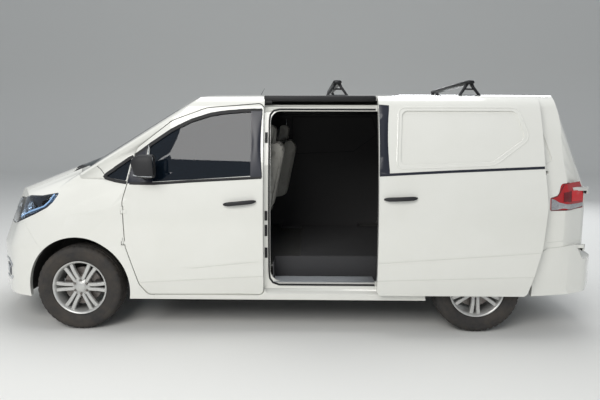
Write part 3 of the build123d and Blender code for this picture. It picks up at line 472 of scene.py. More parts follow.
# Grained black polypropylene: charcoal, matt, with a leather grain
grained_black = worn("grained_polypropylene", "#232326", "#1A1A1C", 0.0035, 0.25, 0.58, 0.0005, bevel=0.002)

for side_name, side in sides:
    door_skin = [f"door_{side_name}", f"door_glass_{side_name}"]
    body_skin = [f"side_{side_name}", f"wing_{side_name}", "quarter_glass"]
    # Lower seal of the window, with its lip on the glass
    ribbon(f"belt_seal_{side_name}", [(1208, 1196), (1001, 1196), (695, 1217), (146, 1248)], 0.011, 0.004,
        door_skin, f"door_{side_name}", "black_plastic", rubber, side)
    ribbon(f"frame_seal_{side_name}", [(146, 1771), (404, 1759), (555, 1734), (707, 1685), (859, 1609),
        (1042, 1488), (1150, 1414)], 0.014, 0.003, door_skin, f"door_{side_name}", "black_plastic", rubber,
        side)
    plate(f"rear_post_cover_{side_name}", [(141, 1246), (232, 1242), (232, 1766), (141, 1775)], 0.003,
        door_skin, f"door_{side_name}", "black_plastic", gloss_black, side)
    plate(f"front_post_cover_{side_name}", [(1208, 1190), (1000, 1190), (1000, 1225), (1050, 1225),
        (1050, 1500), (1150, 1426)], 0.0025, door_skin, f"door_{side_name}", "black_plastic", gloss_black, side)
    # Border of the fixed corner pane
    ribbon(f"corner_seal_{side_name}", [(1214, 1200), (1311, 1214), (1392, 1234), (1404, 1246), (1380, 1268),
        (1259, 1346), (1168, 1408)], 0.013, 0.003, body_skin, "body", "black_plastic", rubber, side)
    ribbon(f"glass_divider_{side_name}", [(1042, 1225), (1042, 1490)], 0.004, 0.005, door_skin,
        f"door_{side_name}", "alloy", None, side)

# Wheels.
# Radial tyres of black rubber, grey with road dust, on cast alloy rims with six pairs of spokes.
# Each rim is held by six nuts in pockets round a plain cap, in front of a vented iron disc.


def lathe(profile, parts, close=True):
    """Points and faces of a profile of (radius, y) rows turned about the Y axis."""
    verts, faces = [], []
    count = len(profile)
    for i in range(parts):
        a = 2 * pi * i / parts
        verts.extend((r * cos(a), y, r * sin(a)) for r, y in profile)
    for i in range(parts):
        p, q = i * count, ((i + 1) % parts) * count
        steps = count if close else count - 1
        faces.extend((p + j, p + (j + 1) % count, q + (j + 1) % count, q + j) for j in range(steps))
    return verts, faces


def bands(rings, parts):
    """The faces between rings of points."""
    return [(i * parts + j, i * parts + (j + 1) % parts, (i + 1) * parts + (j + 1) % parts,
        (i + 1) * parts + j) for i in range(rings - 1) for j in range(parts)]


def put_together(groups):
    """One list of points and faces from several."""
    verts, faces = [], []
    for v, f in groups:
        start = len(verts)
        verts.extend(v)
        faces.extend(tuple(start + i for i in face) for face in f)
    return verts, faces


def moved(group, matrix):
    """A group of points and faces, moved."""
    return [tuple(matrix @ Vector(v)) for v in group[0]], group[1]


# Tyre rubber: charcoal, matt, with pale brown dust in random patches
tyre_rubber, shader = new_material("dusty_tyre_rubber")
place = add_node(tyre_rubber, "ShaderNodeTexCoord")
dust = add_node(tyre_rubber, "ShaderNodeTexNoise", {"Scale": 9.0, "Detail": 6.0, "Roughness": 0.65},
    {"Vector": place.outputs["Object"]})
dust_share = add_node(tyre_rubber, "ShaderNodeMapRange", {"From Min": 0.35, "From Max": 0.75, "To Max": 0.8},
    {"Value": dust.outputs["Fac"]})
dusty = add_node(tyre_rubber, "ShaderNodeMix", {"data_type": "RGBA"}, {"Factor": dust_share.outputs["Result"]})
dusty.inputs["A"].default_value = colour("#2B2A2A")
dusty.inputs["B"].default_value = colour("#4A433B")
grit = add_node(tyre_rubber, "ShaderNodeTexNoise", {"Scale": 400.0, "Detail": 2.0},
    {"Vector": place.outputs["Object"]})
bumped = add_node(tyre_rubber, "ShaderNodeBump", {"Strength": 0.4, "Distance": 0.0006},
    {"Height": grit.outputs["Fac"]})
wire(tyre_rubber, dusty.outputs["Result"], shader, "Base Color")
wire(tyre_rubber, bumped.outputs["Normal"], shader, "Normal")
shader.inputs["Roughness"].default_value = 0.78
# Cast aluminium under silver lacquer: pale grey, satin, lighter and darker in random patches
alloy = worn("silver_cast_alloy", "#D2D2CF", "#C2C2C0", 0.03, 0.3, 0.36, 0.0, metallic=0.55, bevel=0.002,
    spread=0.05)
# Machined iron: grey with a brown bloom of rust in random patches
iron = worn("machined_iron", "#8B8986", "#6E6460", 0.02, 0.2, 0.42, 0.0003, metallic=0.8)
# Cast iron and sprayed steel of the running gear: black brown, matt
cast_iron = worn("cast_running_gear", "#2E2B29", "#231F1D", 0.02, 0.25, 0.7, 0.0008, metallic=0.3)
axle_x = {"front": 1.624, "rear": -1.574}
axle_z = 0.345
wheel_y = 0.851
tread = ((0.2205, 0.0817), (0.2235, 0.088), (0.2350, 0.0965), (0.2500, 0.1010), (0.2520, 0.1022),
        (0.2760, 0.1068), (0.2860, 0.1072), (0.2875, 0.1062), (0.2890, 0.1070), (0.3080, 0.1058),
        (0.3210, 0.1030), (0.3330, 0.0950), (0.3400, 0.0850), (0.3425, 0.0700), (0.3430, 0.0620),
        (0.3350, 0.0600), (0.3350, 0.0520), (0.3440, 0.0500), (0.3448, 0.0270), (0.3360, 0.0250),
        (0.3360, 0.0160), (0.3449, 0.0140))
outline = [*tread, *((r, -y) for r, y in reversed(tread)), (0.2060, -0.0817), (0.2060, 0.0817)]
tyre_parts = 168
# The tread's blocks end above this radius, and shallower notches run on down the shoulder
tread_edge = 0.338
tyre_verts, tyre_faces = lathe(outline, tyre_parts)
rows = len(outline)
for i in range(tyre_parts):
    groove = i % 4 == 0
    for j in range(rows):
        x, y, z = tyre_verts[i * rows + j]
        r = hypot(x, z)
        cut = 0.0
        if groove and r > tread_edge and abs(y) > 0.028:
            cut = 0.006
        elif groove and 0.320 < r <= tread_edge and abs(y) > 0.09:
            cut = 0.003
        k = (r - cut) / r
        tyre_verts[i * rows + j] = (x * k, y, z * k)
spoke_pairs = 6


def spoke(sign):
    """One curved bar of a pair, from the hub to the rim."""
    stations = [(0.046, 0.016, 0.0260, 0.062, 0.022), (0.085, 0.0165, 0.0275, 0.068, 0.030),
        (0.120, 0.018, 0.0285, 0.070, 0.030), (0.155, 0.021, 0.0295, 0.069, 0.030),
        (0.185, 0.025, 0.0310, 0.067, 0.034), (0.198, 0.0275, 0.0330, 0.066, 0.040)]
    verts = []
    for r, middle, width, top, depth in stations:
        z = sign * (middle + 0.002)
        w = width / 2
        verts.extend([(r, top - depth, z - w), (r, top - 0.006, z - w), (r, top - 0.001, z - w + 0.004),
            (r, top, z), (r, top - 0.001, z + w - 0.004), (r, top - 0.006, z + w), (r, top - depth, z + w)])
    k = len(verts) // len(stations)
    faces = bands(len(stations), k)
    faces.append(tuple(range(k)))
    faces.append(tuple(reversed(range(len(verts) - k, len(verts)))))
    return verts, faces


rim_groups = [lathe([(0.2195, 0.0890), (0.2180, 0.0905), (0.2140, 0.0900), (0.2080, 0.0860), (0.2030, 0.0790),
    (0.1990, 0.0660), (0.1960, 0.0300), (0.1920, -0.0700), (0.2000, -0.0850), (0.2180, -0.0890),
    (0.2190, -0.0830), (0.2060, -0.0810), (0.1980, -0.0600), (0.2035, 0.0500), (0.2060, 0.0810),
    (0.2195, 0.0830)], 96)]
rim_groups.append(lathe([(0.0001, 0.0740), (0.0340, 0.0735), (0.0375, 0.0715), (0.0385, 0.0670),
    (0.0400, 0.0670), (0.0440, 0.0645), (0.0700, 0.0560), (0.0740, 0.0500), (0.0740, 0.0400), (0.0001, 0.0400)],
    72))
for i in range(spoke_pairs):
    turn = Matrix.Rotation(-2 * pi * i / spoke_pairs, 4, "Y")
    rim_groups.extend(moved(spoke(sign), turn) for sign in (-1, 1))
nut_groups, pocket_groups = [], []
for i in range(spoke_pairs):
    a = 2 * pi * (i + 0.5) / spoke_pairs
    spot = Matrix.Translation((0.056 * cos(a), 0, 0.056 * sin(a)))
    nut_groups.append(moved(lathe([(0.0001, 0.0720), (0.0070, 0.0720), (0.0098, 0.0700), (0.0100, 0.0500),
        (0.0001, 0.0500)], 6), spot))
    pocket_groups.append(moved(lathe([(0.0165, 0.0635), (0.0150, 0.0640), (0.0135, 0.0625), (0.0130, 0.0560),
        (0.0170, 0.0560)], 24), spot))
rim_groups.extend(pocket_groups)
disc_group = put_together([lathe([(0.1520, 0.0130), (0.1520, 0.0040), (0.1490, 0.0030), (0.1490, -0.0030),
    (0.1520, -0.0040), (0.1520, -0.0130), (0.0900, -0.0130), (0.0850, -0.0100), (0.0620, -0.0100),
    (0.0620, 0.0400), (0.0850, 0.0400), (0.0870, 0.0150), (0.0900, 0.0130)], 96)])
for end in ("front", "rear"):
    for side_name, side in sides:
        body = f"wheel_{end}_{side_name}"
        spin = Matrix.Rotation(0 if end == "front" else pi / spoke_pairs, 4, "Y")
        if side == -1:
            spin = spin @ Matrix.Rotation(pi, 4, "Z")
        place_wheel = Matrix.Translation((axle_x[end], side * wheel_y, axle_z)) @ spin
        tyre = from_lists(f"tyre_{end}_{side_name}_dressed", *moved((tyre_verts, tyre_faces), place_wheel),
            body, "tyre", tyre_rubber, 34)
        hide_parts(f"tyre_{end}_{side_name}")
        rim = from_lists(f"rim_{end}_{side_name}_dressed", *moved(put_together(rim_groups), place_wheel), body,
            "alloy", alloy, 36)
        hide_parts(f"rim_{end}_{side_name}")
        from_lists(f"wheel_nuts_{end}_{side_name}", *moved(put_together(nut_groups), place_wheel), body,
            "steel", iron, 30)
        from_lists(f"brake_disc_{end}_{side_name}", *moved(disc_group, place_wheel), body, "iron", iron, 30)

# Running gear, engine bay and underside.
# Castings, pressed steel members and moulded liners, sprayed black and grimy.
# They keep the shapes of their solids.

# Moulded polyethylene of liners and tank: black, waxy, splashed with dust
liner_plastic = worn("splashed_liner_plastic", "#1E1D1C", "#2A2724", 0.05, 0.25, 0.8, 0.0010, bevel=0.002)
# Aluminised steel of the exhaust: dull grey with brown heat stains
aluminised = worn("aluminised_steel", "#77726B", "#5A5048", 0.08, 0.25, 0.5, 0.0004, metallic=0.8, bevel=0.002)
# Phosphated and sprayed steel under the body: off-white primer grey under road film
floor_steel = worn("sprayed_floor_steel", "#5B5B59", "#474745", 0.08, 0.3, 0.6, 0.0006, bevel=0.003)
finish_nodes(cast_iron, "knuckle_left", "knuckle_right", "rear_axle", "front_frame", "engine")
finish_nodes(aluminised, "propshaft", "exhaust")
finish_nodes(liner_plastic, "fuel_tank", "liners_front", "liners_rear", "radiator")
finish_nodes(lining, "firewall")
finish_nodes(floor_steel, "floor")
finish_nodes(rubber, "sliding_gear")
finish_nodes(grained_black, "cowl")

# Load space floor.
# A ribbed rubber mat over the pressed floor, with a bright aluminium sill at the side doorway.
# The mat is cut round the arches and ends behind the seats.


def ribbed(name, x0, x1, y0, y1, z, body, slot, material, pitch=0.012, rise=0.0025):
    """A ribbed sheet that lies at z."""
    count = round((y1 - y0) / pitch)
    verts, faces = [], []
    for x in (x0, x1):
        for i in range(count):
            y = y0 + i * (y1 - y0) / count
            w = (y1 - y0) / count
            verts.extend([(x, y, z), (x, y + w * 0.12, z + rise), (x, y + w * 0.5, z + rise),
                (x, y + w * 0.62, z)])
    row = len(verts) // 2
    for i in range(row - 1):
        faces.append((i, row + i, row + i + 1, i + 1))
    return from_lists(name, verts, faces, body, slot, material, 30)


ribbed("floor_mat", -2.36, -0.16, -0.52, 0.52, 0.5608, "body", "black_plastic", rubber)
ribbed("floor_mat_left", -1.14, -0.16, 0.5206, 0.688, 0.5608, "body", "black_plastic", rubber)
ribbed("floor_mat_right", -1.14, -0.16, -0.688, -0.5206, 0.5608, "body", "black_plastic", rubber)
# Anodised aluminium: pale satin metal with fine lines along it
anodised = worn("anodised_aluminium", "#B9BCBF", "#A4A7AA", 0.01, 0.3, 0.32, 0.0, metallic=0.9, bevel=0.001)
finish_nodes(trim_dark, "step_wells")

# Handles and mirrors.
# Charcoal moulded pulls in shallow cups, and grained mirror housings with a bright lower band.
# The mirrors stand on arms at the foot of the window.


def squarish(i, count):
    """The cosine and sine of a step round a moulded section, pushed out towards a square."""
    a = 2 * pi * i / count
    return [(abs(v) ** 0.75) * (1 if v >= 0 else -1) for v in (cos(a), sin(a))]


# Directions of a bar's half width and half height: along Y and Z, along X and Z, and along X and Y
crosswise = ((0, 1, 0), (0, 0, 1))
lengthwise = ((1, 0, 0), (0, 0, 1))
flat_on = ((1, 0, 0), (0, 1, 0))


def bar_along(name, stations, body, slot, material, parts=16, sharp=50):
    """A bar through stations of (centre, half width, half height), rounded in section."""
    verts = []
    for centre, wide, high, sideways, upward in stations:
        for i in range(parts):
            c, s = squarish(i, parts)
            verts.append(Vector(centre) + Vector(sideways) * (wide * c) + Vector(upward) * (high * s))
    count = len(stations)
    faces = bands(count, parts)
    faces.append(tuple(reversed(range(parts))))
    faces.append(tuple(range((count - 1) * parts, count * parts)))
    return from_lists(name, verts, faces, body, slot, material, sharp)


def pull(name, x0, x1, z0, z1, side, skin, body, node):
    """A door pull that stands off its cup, in one piece with its two feet."""
    stations = []
    for i in range(15):
        t = i / 14
        x, z = x0 + (x1 - x0) * t, z0 + (z1 - z0) * t
        point, _ = on_skin(skin, x, z, side)
        off = 0.012 + 0.022 * sin(pi * min(1, max(0, t))) ** 0.5
        swell = 0.35 + 0.65 * min(1, 6 * t, 6 * (1 - t)) ** 0.5
        stations.append(((x, point.y + side * off, z), 0.0085 * swell, 0.0165 * swell, *crosswise))
    piece = bar_along(name, stations, body, "black_plastic", grained_black, 20)
    if node:
        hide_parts(*node)
    return piece


cup_outline = rounded([(-62, -34), (62, -34), (62, 34), (-62, 34)], 30)
for side_name, side in sides:
    door_skin = [f"door_{side_name}"]
    pull(f"door_pull_{side_name}", 0.187, 0.444, 1.063, 1.038, side, door_skin, f"door_{side_name}",
        [f"door_handle_{side_name}"])
    plate(f"door_cup_{side_name}", [(a + 312, b + 1066) for a, b in cup_outline], 0.0016, door_skin,
        f"door_{side_name}", "paint", enamel, side, crown=-0.0012)
    slide_x = -0.885 if side == 1 else 0.0
    slide_skin = [f"sliding_door_{side_name}"]
    pull(f"sliding_pull_{side_name}", slide_x - 0.170, slide_x + 0.086, 1.102, 1.092, side, slide_skin, "body",
        ["sliding_handles"] if side == 1 else None)
    plate(f"sliding_cup_{side_name}", [(a - 110 + slide_x * 1000, b + 1112) for a, b in cup_outline], 0.0016,
        slide_skin, "body", "paint", enamel, side, crown=-0.0012)

# Mirror glass: a bright metal mirror
mirror_coat, shader = new_material("mirror_coating")
place = add_node(mirror_coat, "ShaderNodeTexCoord")
film = add_node(mirror_coat, "ShaderNodeTexNoise", {"Scale": 12.0, "Detail": 3.0},
    {"Vector": place.outputs["Object"]})
film_rough = add_node(mirror_coat, "ShaderNodeMapRange", {"To Min": 0.02, "To Max": 0.08},
    {"Value": film.outputs["Fac"]})
wire(mirror_coat, film_rough.outputs["Result"], shader, "Roughness")
shader.inputs["Base Color"].default_value = colour("#C8CCD0")
shader.inputs["Metallic"].default_value = 1.0


mirror_parts = 28


def mirror_shell(side):
    """Rings of a mirror housing, widest at the top and rounded off at the front."""
    verts = []
    for x, zc, hz, hy in ((0.957, 1.345, 0.090, 0.042), (0.962, 1.345, 0.096, 0.046),
            (1.000, 1.345, 0.097, 0.0475), (1.050, 1.343, 0.096, 0.047), (1.090, 1.338, 0.086, 0.042),
            (1.112, 1.333, 0.066, 0.032), (1.120, 1.330, 0.042, 0.020)):
        for i in range(mirror_parts):
            c, s = squarish(i, mirror_parts)
            taper = 1.0 - 0.06 * s
            verts.append((x + 0.012 * s * (1 if x > 1.0 else 0.3), side * (1.062 + hy * c),
                zc + hz * s * taper * 0.93))
    back = len(verts)
    faces = bands(back // mirror_parts, mirror_parts)
    faces.append(tuple(range(back - mirror_parts, back)))
    verts.extend((x + 0.010, y, z) for x, y, z in verts[:mirror_parts])
    for j in range(mirror_parts):
        k = (j + 1) % mirror_parts
        faces.append((k, j, back + j, back + k))
    faces.append(tuple(range(back, back + mirror_parts)))
    return verts, faces


for side_name, side in sides:
    body = f"door_{side_name}"
    shell = from_lists(f"mirror_housing_{side_name}", *mirror_shell(side), body, "black_plastic", grained_black,
        60)
    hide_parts(f"mirror_{side_name}")
    glass_ring = [(0.9665, side * (1.062 + 0.040 * cos(a)),
        1.345 + 0.082 * sin(a)) for a in [2 * pi * i / 32 for i in range(32)]]
    from_lists(f"mirror_face_{side_name}", glass_ring, [tuple(range(32))], body, "glass", mirror_coat)
    stations = []
    for i in range(12):
        t = i / 11
        stations.append(((0.962 + 0.150 * t, side * 1.070, 1.262 + 0.010 * t * t), 0.030 * (1 - 0.5 * t * t),
            0.0065, *crosswise))
    bar_along(f"mirror_band_{side_name}", stations, body, "alloy", anodised, 16)
    arm = [((1.045, side * 0.925, 1.236), 0.036, 0.014, *lengthwise), ((1.045, side * 0.965, 1.243), 0.034,
        0.014, *lengthwise), ((1.043, side * 1.005, 1.256), 0.032, 0.014, *lengthwise),
        ((1.040, side * 1.045, 1.272), 0.032, 0.014, *lengthwise)]
    bar_along(f"mirror_arm_{side_name}", arm, body, "black_plastic", grained_black, 16)
for name in ("glass_divider_left", "glass_divider_right"):
    bpy.data.objects[name].data.materials.append(anodised)

# Lamps.
# Clear polycarbonate covers over dark bezels with bright reflectors, and red tail lenses with a clear band.
# They are set flush in the panels.

# Clear polycarbonate with a cold blue cast
lens_clear = glazing("clear_polycarbonate", "#DCE8F4")
# Light guide of blue white polycarbonate: pale, cold, slightly glossy
blade_blue = worn("blue_light_guide", "#9CC0E8", "#86AEDC", 0.03, 0.3, 0.25, 0.0, spread=0.04)
# Red acrylic: deep red that glows at its edges
lens_red, shader = new_material("red_acrylic")
shader.inputs["Base Color"].default_value = colour("#C0141C")
shader.inputs["Roughness"].default_value = 0.10
shader.inputs["Transmission Weight"].default_value = 0.25
shader.inputs["Coat Weight"].default_value = 0.6
place = add_node(lens_red, "ShaderNodeTexCoord")
flutes = add_node(lens_red, "ShaderNodeTexWave", {"Scale": 60.0, "bands_direction": "Z"},
    {"Vector": place.outputs["Object"]})
bumped = add_node(lens_red, "ShaderNodeBump", {"Strength": 0.25, "Distance": 0.0008},
    {"Height": flutes.outputs["Fac"]})
wire(lens_red, bumped.outputs["Normal"], shader, "Normal")
# Vacuum-metallised reflector: a bright soft mirror
reflector = worn("metallised_reflector", "#D5D8DC", "#C4C8CE", 0.02, 0.3, 0.14, 0.0, metallic=1.0, spread=0.05)


def outer_sheet(node, outward, level, keep=None):
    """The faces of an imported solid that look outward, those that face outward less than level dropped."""
    mesh = nodes[node].data.copy()
    mesh.materials.clear()
    grid = bmesh.new()
    grid.from_mesh(mesh)
    bmesh.ops.remove_doubles(grid, verts=grid.verts, dist=0.00002)
    grid.normal_update()
    drop = [f for f in grid.faces if f.normal.dot(outward(f.calc_center_median())) < level]
    bmesh.ops.delete(grid, geom=drop, context="FACES")
    grid.to_mesh(mesh)
    grid.free()
    mesh.shade_smooth()
    return mesh


def nose_out(p):
    """The way out of the nose's corner at a point."""
    return Vector((0.75, 0.9 * (1 if p.y > 0 else -1), 0.35)).normalized()


lens_mesh = outer_sheet("headlamps", nose_out, 0.42)
lens = as_piece("headlamp_lens", lens_mesh, "body", lens_clear)
solid = lens.modifiers.new("thickness", "SOLIDIFY")
solid.thickness = 0.003
solid.offset = -1
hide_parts("headlamps")
house_mesh = outer_sheet("headlamps", nose_out, 0.42)
grid = bmesh.new()
grid.from_mesh(house_mesh)
for vert in grid.verts:
    vert.co -= nose_out(vert.co) * 0.045
grid.to_mesh(house_mesh)
grid.free()
as_piece("headlamp_bezel", house_mesh, "body", gloss_black)
for side_name, side in sides:
    for i, (x, z, r) in enumerate(((2.075, 0.990, 0.052), (2.180, 0.930, 0.046))):
        point, _ = on_skin(["headlamps"], x, z, side)
        way = nose_out(point)
        centre = point - way * 0.030
        bowl = lathe([(r, 0.0), (r * 0.98, 0.004), (r * 0.9, -0.008), (r * 0.7, -0.020), (r * 0.35, -0.028),
            (0.001, -0.030)], 40, close=False)
        aim = way.to_track_quat("Y", "Z").to_matrix().to_4x4()
        from_lists(f"lamp_bowl_{side_name}_{i}", *moved(bowl, Matrix.Translation(centre) @ aim), "body",
            "lamp_clear", reflector, 60)
        bulb = lathe([(0.001, 0.010), (r * 0.30, 0.004), (r * 0.38, -0.008), (r * 0.38, -0.02)], 32,
            close=False)
        from_lists(f"lamp_eye_{side_name}_{i}", *moved(bulb, Matrix.Translation(centre) @ aim), "body",
            "lamp_clear", lens_clear, 60)
    ribbon(f"lamp_blade_{side_name}", [(1822, 1100), (1860, 1040), (1900, 1003), (2034, 955), (2150, 902)],
        0.006, 0.001, ["headlamps"], "body", "lamp_clear", blade_blue, side, sink=0.004)
    ribbon(f"lamp_lower_bezel_{side_name}", [(1838, 1032), (1876, 996), (1982, 945), (2100, 896), (2200, 848)],
        0.006, 0.001, ["headlamps"], "body", "lamp_clear", gloss_black, side, sink=0.004)
finish_nodes(lens_red, "tail_lamps")
# Smoked and bright red acrylic of the lamp's chambers, and the clear band over its silvered back
smoked_red = worn("smoked_red_acrylic", "#6E0E18", "#5A0A12", 0.01, 0.3, 0.2, 0.0, spread=0.05, coat=0.4)
bright_red = worn("bright_red_acrylic", "#D81E26", "#C8161E", 0.01, 0.3, 0.2, 0.0, spread=0.05, coat=0.4)
silvered = worn("silvered_clear_acrylic", "#C3C4C6", "#8F9195", 0.012, 0.25, 0.2, 0.0006, metallic=0.5,
    spread=0.05, coat=0.5)
for side_name, side in sides:
    lamp = ["tail_lamps"]
    plate(f"tail_clear_band_{side_name}", [(-2104, 1003), (-2256, 1007), (-2396, 1024), (-2392, 1052),
        (-2230, 1048), (-2165, 1062), (-2130, 1084), (-2104, 1092)], 0.005, lamp, "body", "lamp_clear",
        silvered, side, sink=0.002)
    plate(f"tail_smoked_{side_name}", [(-2200, 1066), (-2262, 1066), (-2262, 1150), (-2200, 1136)], 0.006, lamp,
        "body", "lamp_red", smoked_red, side, sink=0.002)
    plate(f"tail_bright_{side_name}", [(-2266, 1068), (-2384, 1070), (-2380, 1152), (-2266, 1152)], 0.006, lamp,
        "body", "lamp_red", bright_red, side, sink=0.002)
    ribbon(f"tail_lower_line_{side_name}", [(-2102, 1001), (-2256, 1004), (-2396, 1021)], 0.004, 0.004, lamp,
        "body", "lamp_red", smoked_red, side, sink=0.002)
    ribbon(f"tail_upper_line_{side_name}", [(-2102, 1093), (-2152, 1112), (-2166, 1132), (-2170, 1190),
        (-2184, 1204), (-2370, 1226)], 0.004, 0.003, lamp, "body", "lamp_red", smoked_red, side, sink=0.002)

# Front and rear faces.
# A glossy black grille, and fog lamps in dark recesses between two bright strips, clipped to the bumper.
# Red acrylic reflectors are set in the rear bumper's face.

# Chromed ABS: bright mirror metal
chromed = worn("chromed_abs", "#DADDE0", "#CDD0D3", 0.03, 0.3, 0.10, 0.0, metallic=1.0, spread=0.03,
    bevel=0.001)
finish_nodes(gloss_black, "grille")

for side_name, side in sides:
    nose = ["bumper_front"]
    cup = [(side * 695 + a, 442 + b) for a, b in rounded([(-75, -52), (75, -52), (75, 52), (-75, 52)], 50)]
    plate(f"fog_recess_{side_name}", cup, 0.0015, nose, "body", "black_plastic", gloss_black, side, "front",
        sink=0.002)
    spot, way = on_skin(nose, side * 0.690, 0.442, 1, "front")
    fog = lathe([(0.040, -0.004), (0.040, 0.006), (0.036, 0.008), (0.030, 0.005), (0.001, 0.009)], 32,
        close=False)
    aim = way.to_track_quat("Y", "Z").to_matrix().to_4x4()
    from_lists(f"fog_lamp_{side_name}", *moved(fog, Matrix.Translation(spot) @ aim), "body", "lamp_clear",
        reflector, 50)
    ribbon(f"fog_bright_upper_{side_name}", [(side * 600, 512), (side * 690, 522), (side * 770, 512),
        (side * 800, 488)], 0.012, 0.007, nose, "body", "alloy", chromed, side, "front", sink=0.002)
    ribbon(f"fog_bright_lower_{side_name}", [(side * 610, 368), (side * 690, 362), (side * 770, 376),
        (side * 795, 400)], 0.010, 0.007, nose, "body", "alloy", chromed, side, "front", sink=0.002)
    # Seam of sealant between the wing and the windscreen post
    ribbon(f"wing_seam_{side_name}", [(1511, 1349), (1440, 1300), (1402, 1258)], 0.0025, 0.0006,
        [f"side_{side_name}", f"wing_{side_name}", "cowl", "bonnet"], "body", "black_plastic", rubber, side,
        sink=0.002)
    plate(f"tail_reflector_{side_name}", rounded([(side * 700 - 70, 392), (side * 700 + 70, 392),
        (side * 700 + 70, 424), (side * 700 - 70, 424)], 12), 0.002, ["bumper_rear"], "body", "lamp_red",
        bright_red, side, "back", sink=0.002)

# Roof bars.
# Black extruded bars on cast feet that clamp at the gutters, each with a rubber strip in its top slot.

# Black anodised aluminium: satin black with a grey sheen
black_bar = worn("black_anodised_aluminium", "#26272A", "#1D1E20", 0.02, 0.3, 0.38, 0.0, metallic=0.5,
    bevel=0.002)
bar_x = (-0.459, -1.547)
for i, x in enumerate(bar_x):
    stations = [((x, y, 2.0065), 0.036 * k, 0.0175 * k, *lengthwise) for y, k in ((-0.639, 0.55),
        (-0.634, 0.85), (-0.625, 1.0), (0.0, 1.0), (0.625, 1.0), (0.634, 0.85), (0.639, 0.55))]
    bar = bar_along(f"roof_bar_{i}", stations, "body", "alloy", black_bar, 24)
    if i == 0:
        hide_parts("roof_bars")
    bar_along(f"bar_strip_{i}", [((x, y, 2.0225), 0.010, 0.0014, *lengthwise) for y in (-0.60, 0.60)], "body",
        "alloy", rubber, 12)
    for side in (1, -1):
        y0 = side * 0.585
        for lean in (-1, 1):
            foot = [((x + lean * dx, y0 + side * dy, z), w, 0.020, *flat_on) for dx, dy, z,
                w in ((0.084, 0.030, 1.896, 0.012), (0.060, 0.024, 1.930, 0.013), (0.030, 0.010, 1.972, 0.014),
                (0.016, 0.004, 1.999, 0.018))]
            bar_along(f"bar_leg_{i}_{side}_{lean}", foot, "body", "alloy", black_bar, 12)
        base = [((x + dx, y0 + side * 0.030, 1.897 + rise), 0.030, 0.008, *crosswise) for dx,
            rise in ((-0.096, -0.006), (-0.080, 0.0), (0.080, 0.0), (0.096, -0.006))]
        bar_along(f"bar_base_{i}_{side}", base, "body", "alloy", black_bar, 12)
        bar_along(f"bar_brace_{i}_{side}", [((x + dx, y0 + side * 0.018, 1.952), 0.010, 0.007,
            *crosswise) for dx in (-0.040, 0.040)], "body", "alloy", black_bar, 12)
        bar_along(f"bar_clamp_plate_{i}_{side}", [((x + dx, y0 + side * 0.052, 1.9035), 0.004, 0.004,
            *crosswise) for dx in (-0.022, 0.022)], "body", "alloy", anodised, 12)

# Fibreglass whip aerial on a moulded foot near the front of the roof
bar_along("aerial", [((0.262 + dx, -0.30, z), r, r, *flat_on) for dx, z, r in ((0.0, 1.905, 0.016),
    (0.0, 1.928, 0.010), (-0.006, 1.940, 0.003), (-0.040, 2.000, 0.002), (-0.052, 2.020, 0.0015))], "body",
    "black_plastic", grained_black, 12)

# Side doorway.
# A black rubber seal on the opening's flange, a black cover over the upper rail and strikers on the post.
# The sill carries a ribbed aluminium tread, and the far door's lining shows the outline of its blanked window.

opening_path = [(-757, 376), (10, 376), (60, 394), (84, 430), (90, 490), (90, 1690), (84, 1735), (58, 1768),
    (10, 1778), (-757, 1778)]
ribbon("doorway_seal", opening_path, 0.007, 0.010, ["side_left"], "body", "black_plastic", rubber, 1)
ribbed("sill_tread", -0.757, 0.050, 0.770, 0.945, 0.4055, "body", "alloy", anodised, 0.0125, 0.0014)
# Outline of the blanked window in the far door's lining, and beside it a pale anodised strip that is a painted
# highlight on the far doorway's seal
far_rows = [(-0.045, 1.345), (-0.730, 1.372), (-0.985, 1.560), (-0.920, 1.752), (-0.055, 1.752),
    (-0.045, 1.345)]
bar_along("far_blank_groove", [((x, 0.062 - flank(z)[0], z), 0.004, 0.004, *lengthwise) for x, z in far_rows],
    "body", "black_plastic", rubber, 8)
# Painted highlight: a pale bar where the far doorway's seal catches the light
bar_along("far_post_seal", [((x, 0.070 - flank(z)[0], z), 0.006, 0.006, *flat_on) for x, z in ((0.010, 1.725),
    (0.012, 1.600), (0.020, 1.450), (0.030, 1.300))], "body", "alloy", anodised, 10)
bar_along("rail_cover", [((x, 0.765, 1.866), 0.026 * k, 0.0235 * k, *crosswise) for x, k in ((0.133, 0.85),
    (0.126, 1.0), (-0.2, 1.0), (-0.750, 1.0), (-0.757, 0.85))], "body", "black_plastic", rubber, 20)
bar_along("rail_cover_end", [((x, 0.778, 1.838), 0.012, 0.014, *crosswise) for x in (0.070, 0.122)], "body",
    "black_plastic", rubber, 16)
# Painted shade: a black strip along the crease above the doorway, where the rail's fold lies in shade
ribbon("rail_channel_line", [(80, 1822), (-757, 1826)], 0.004, 0.002, ["side_left"], "body", "black_plastic",
    rubber, 1, sink=0.002)
for i, (z, tall) in enumerate(((1554, 42), (940, 38), (822, 45), (642, 42))):
    plate(f"striker_{i}", rounded([(102, z - tall), (124, z - tall), (124, z + tall), (102, z + tall)], 4),
        0.004, ["side_left"], "body", "black_plastic", rubber, 1, sink=0.002)

# Sliding doors' outside trims.
# A glossy black strip under the blanked window, and a cover of the same acrylic on the front post.
# The window's outline is pressed in the door's own steel.

for side_name, side in sides:
    move = -885 if side == 1 else 0
    skin = [f"sliding_door_{side_name}"]
    ribbon(f"waist_strip_{side_name}", [(118 + move, 1274), (-400 + move, 1302), (-1133 + move, 1335)], 0.010,
        0.004, skin, "body", "black_plastic", gloss_black, side)
    frame_rows = rounded([(-12 + move, 1322), (-762 + move, 1352), (-1030 + move, 1556), (-952 + move, 1792),
        (-34 + move, 1792)], 55)
    ribbon(f"blank_frame_{side_name}", frame_rows, 0.007, 0.0022, skin, "body", "paint", enamel, side,
        closed=True, sink=0.001)
    plate(f"post_cover_{side_name}", [(42 + move, 1286), (119 + move, 1282), (119 + move, 1812),
        (42 + move, 1806)], 0.003, skin, "body", "black_plastic", gloss_black, side)

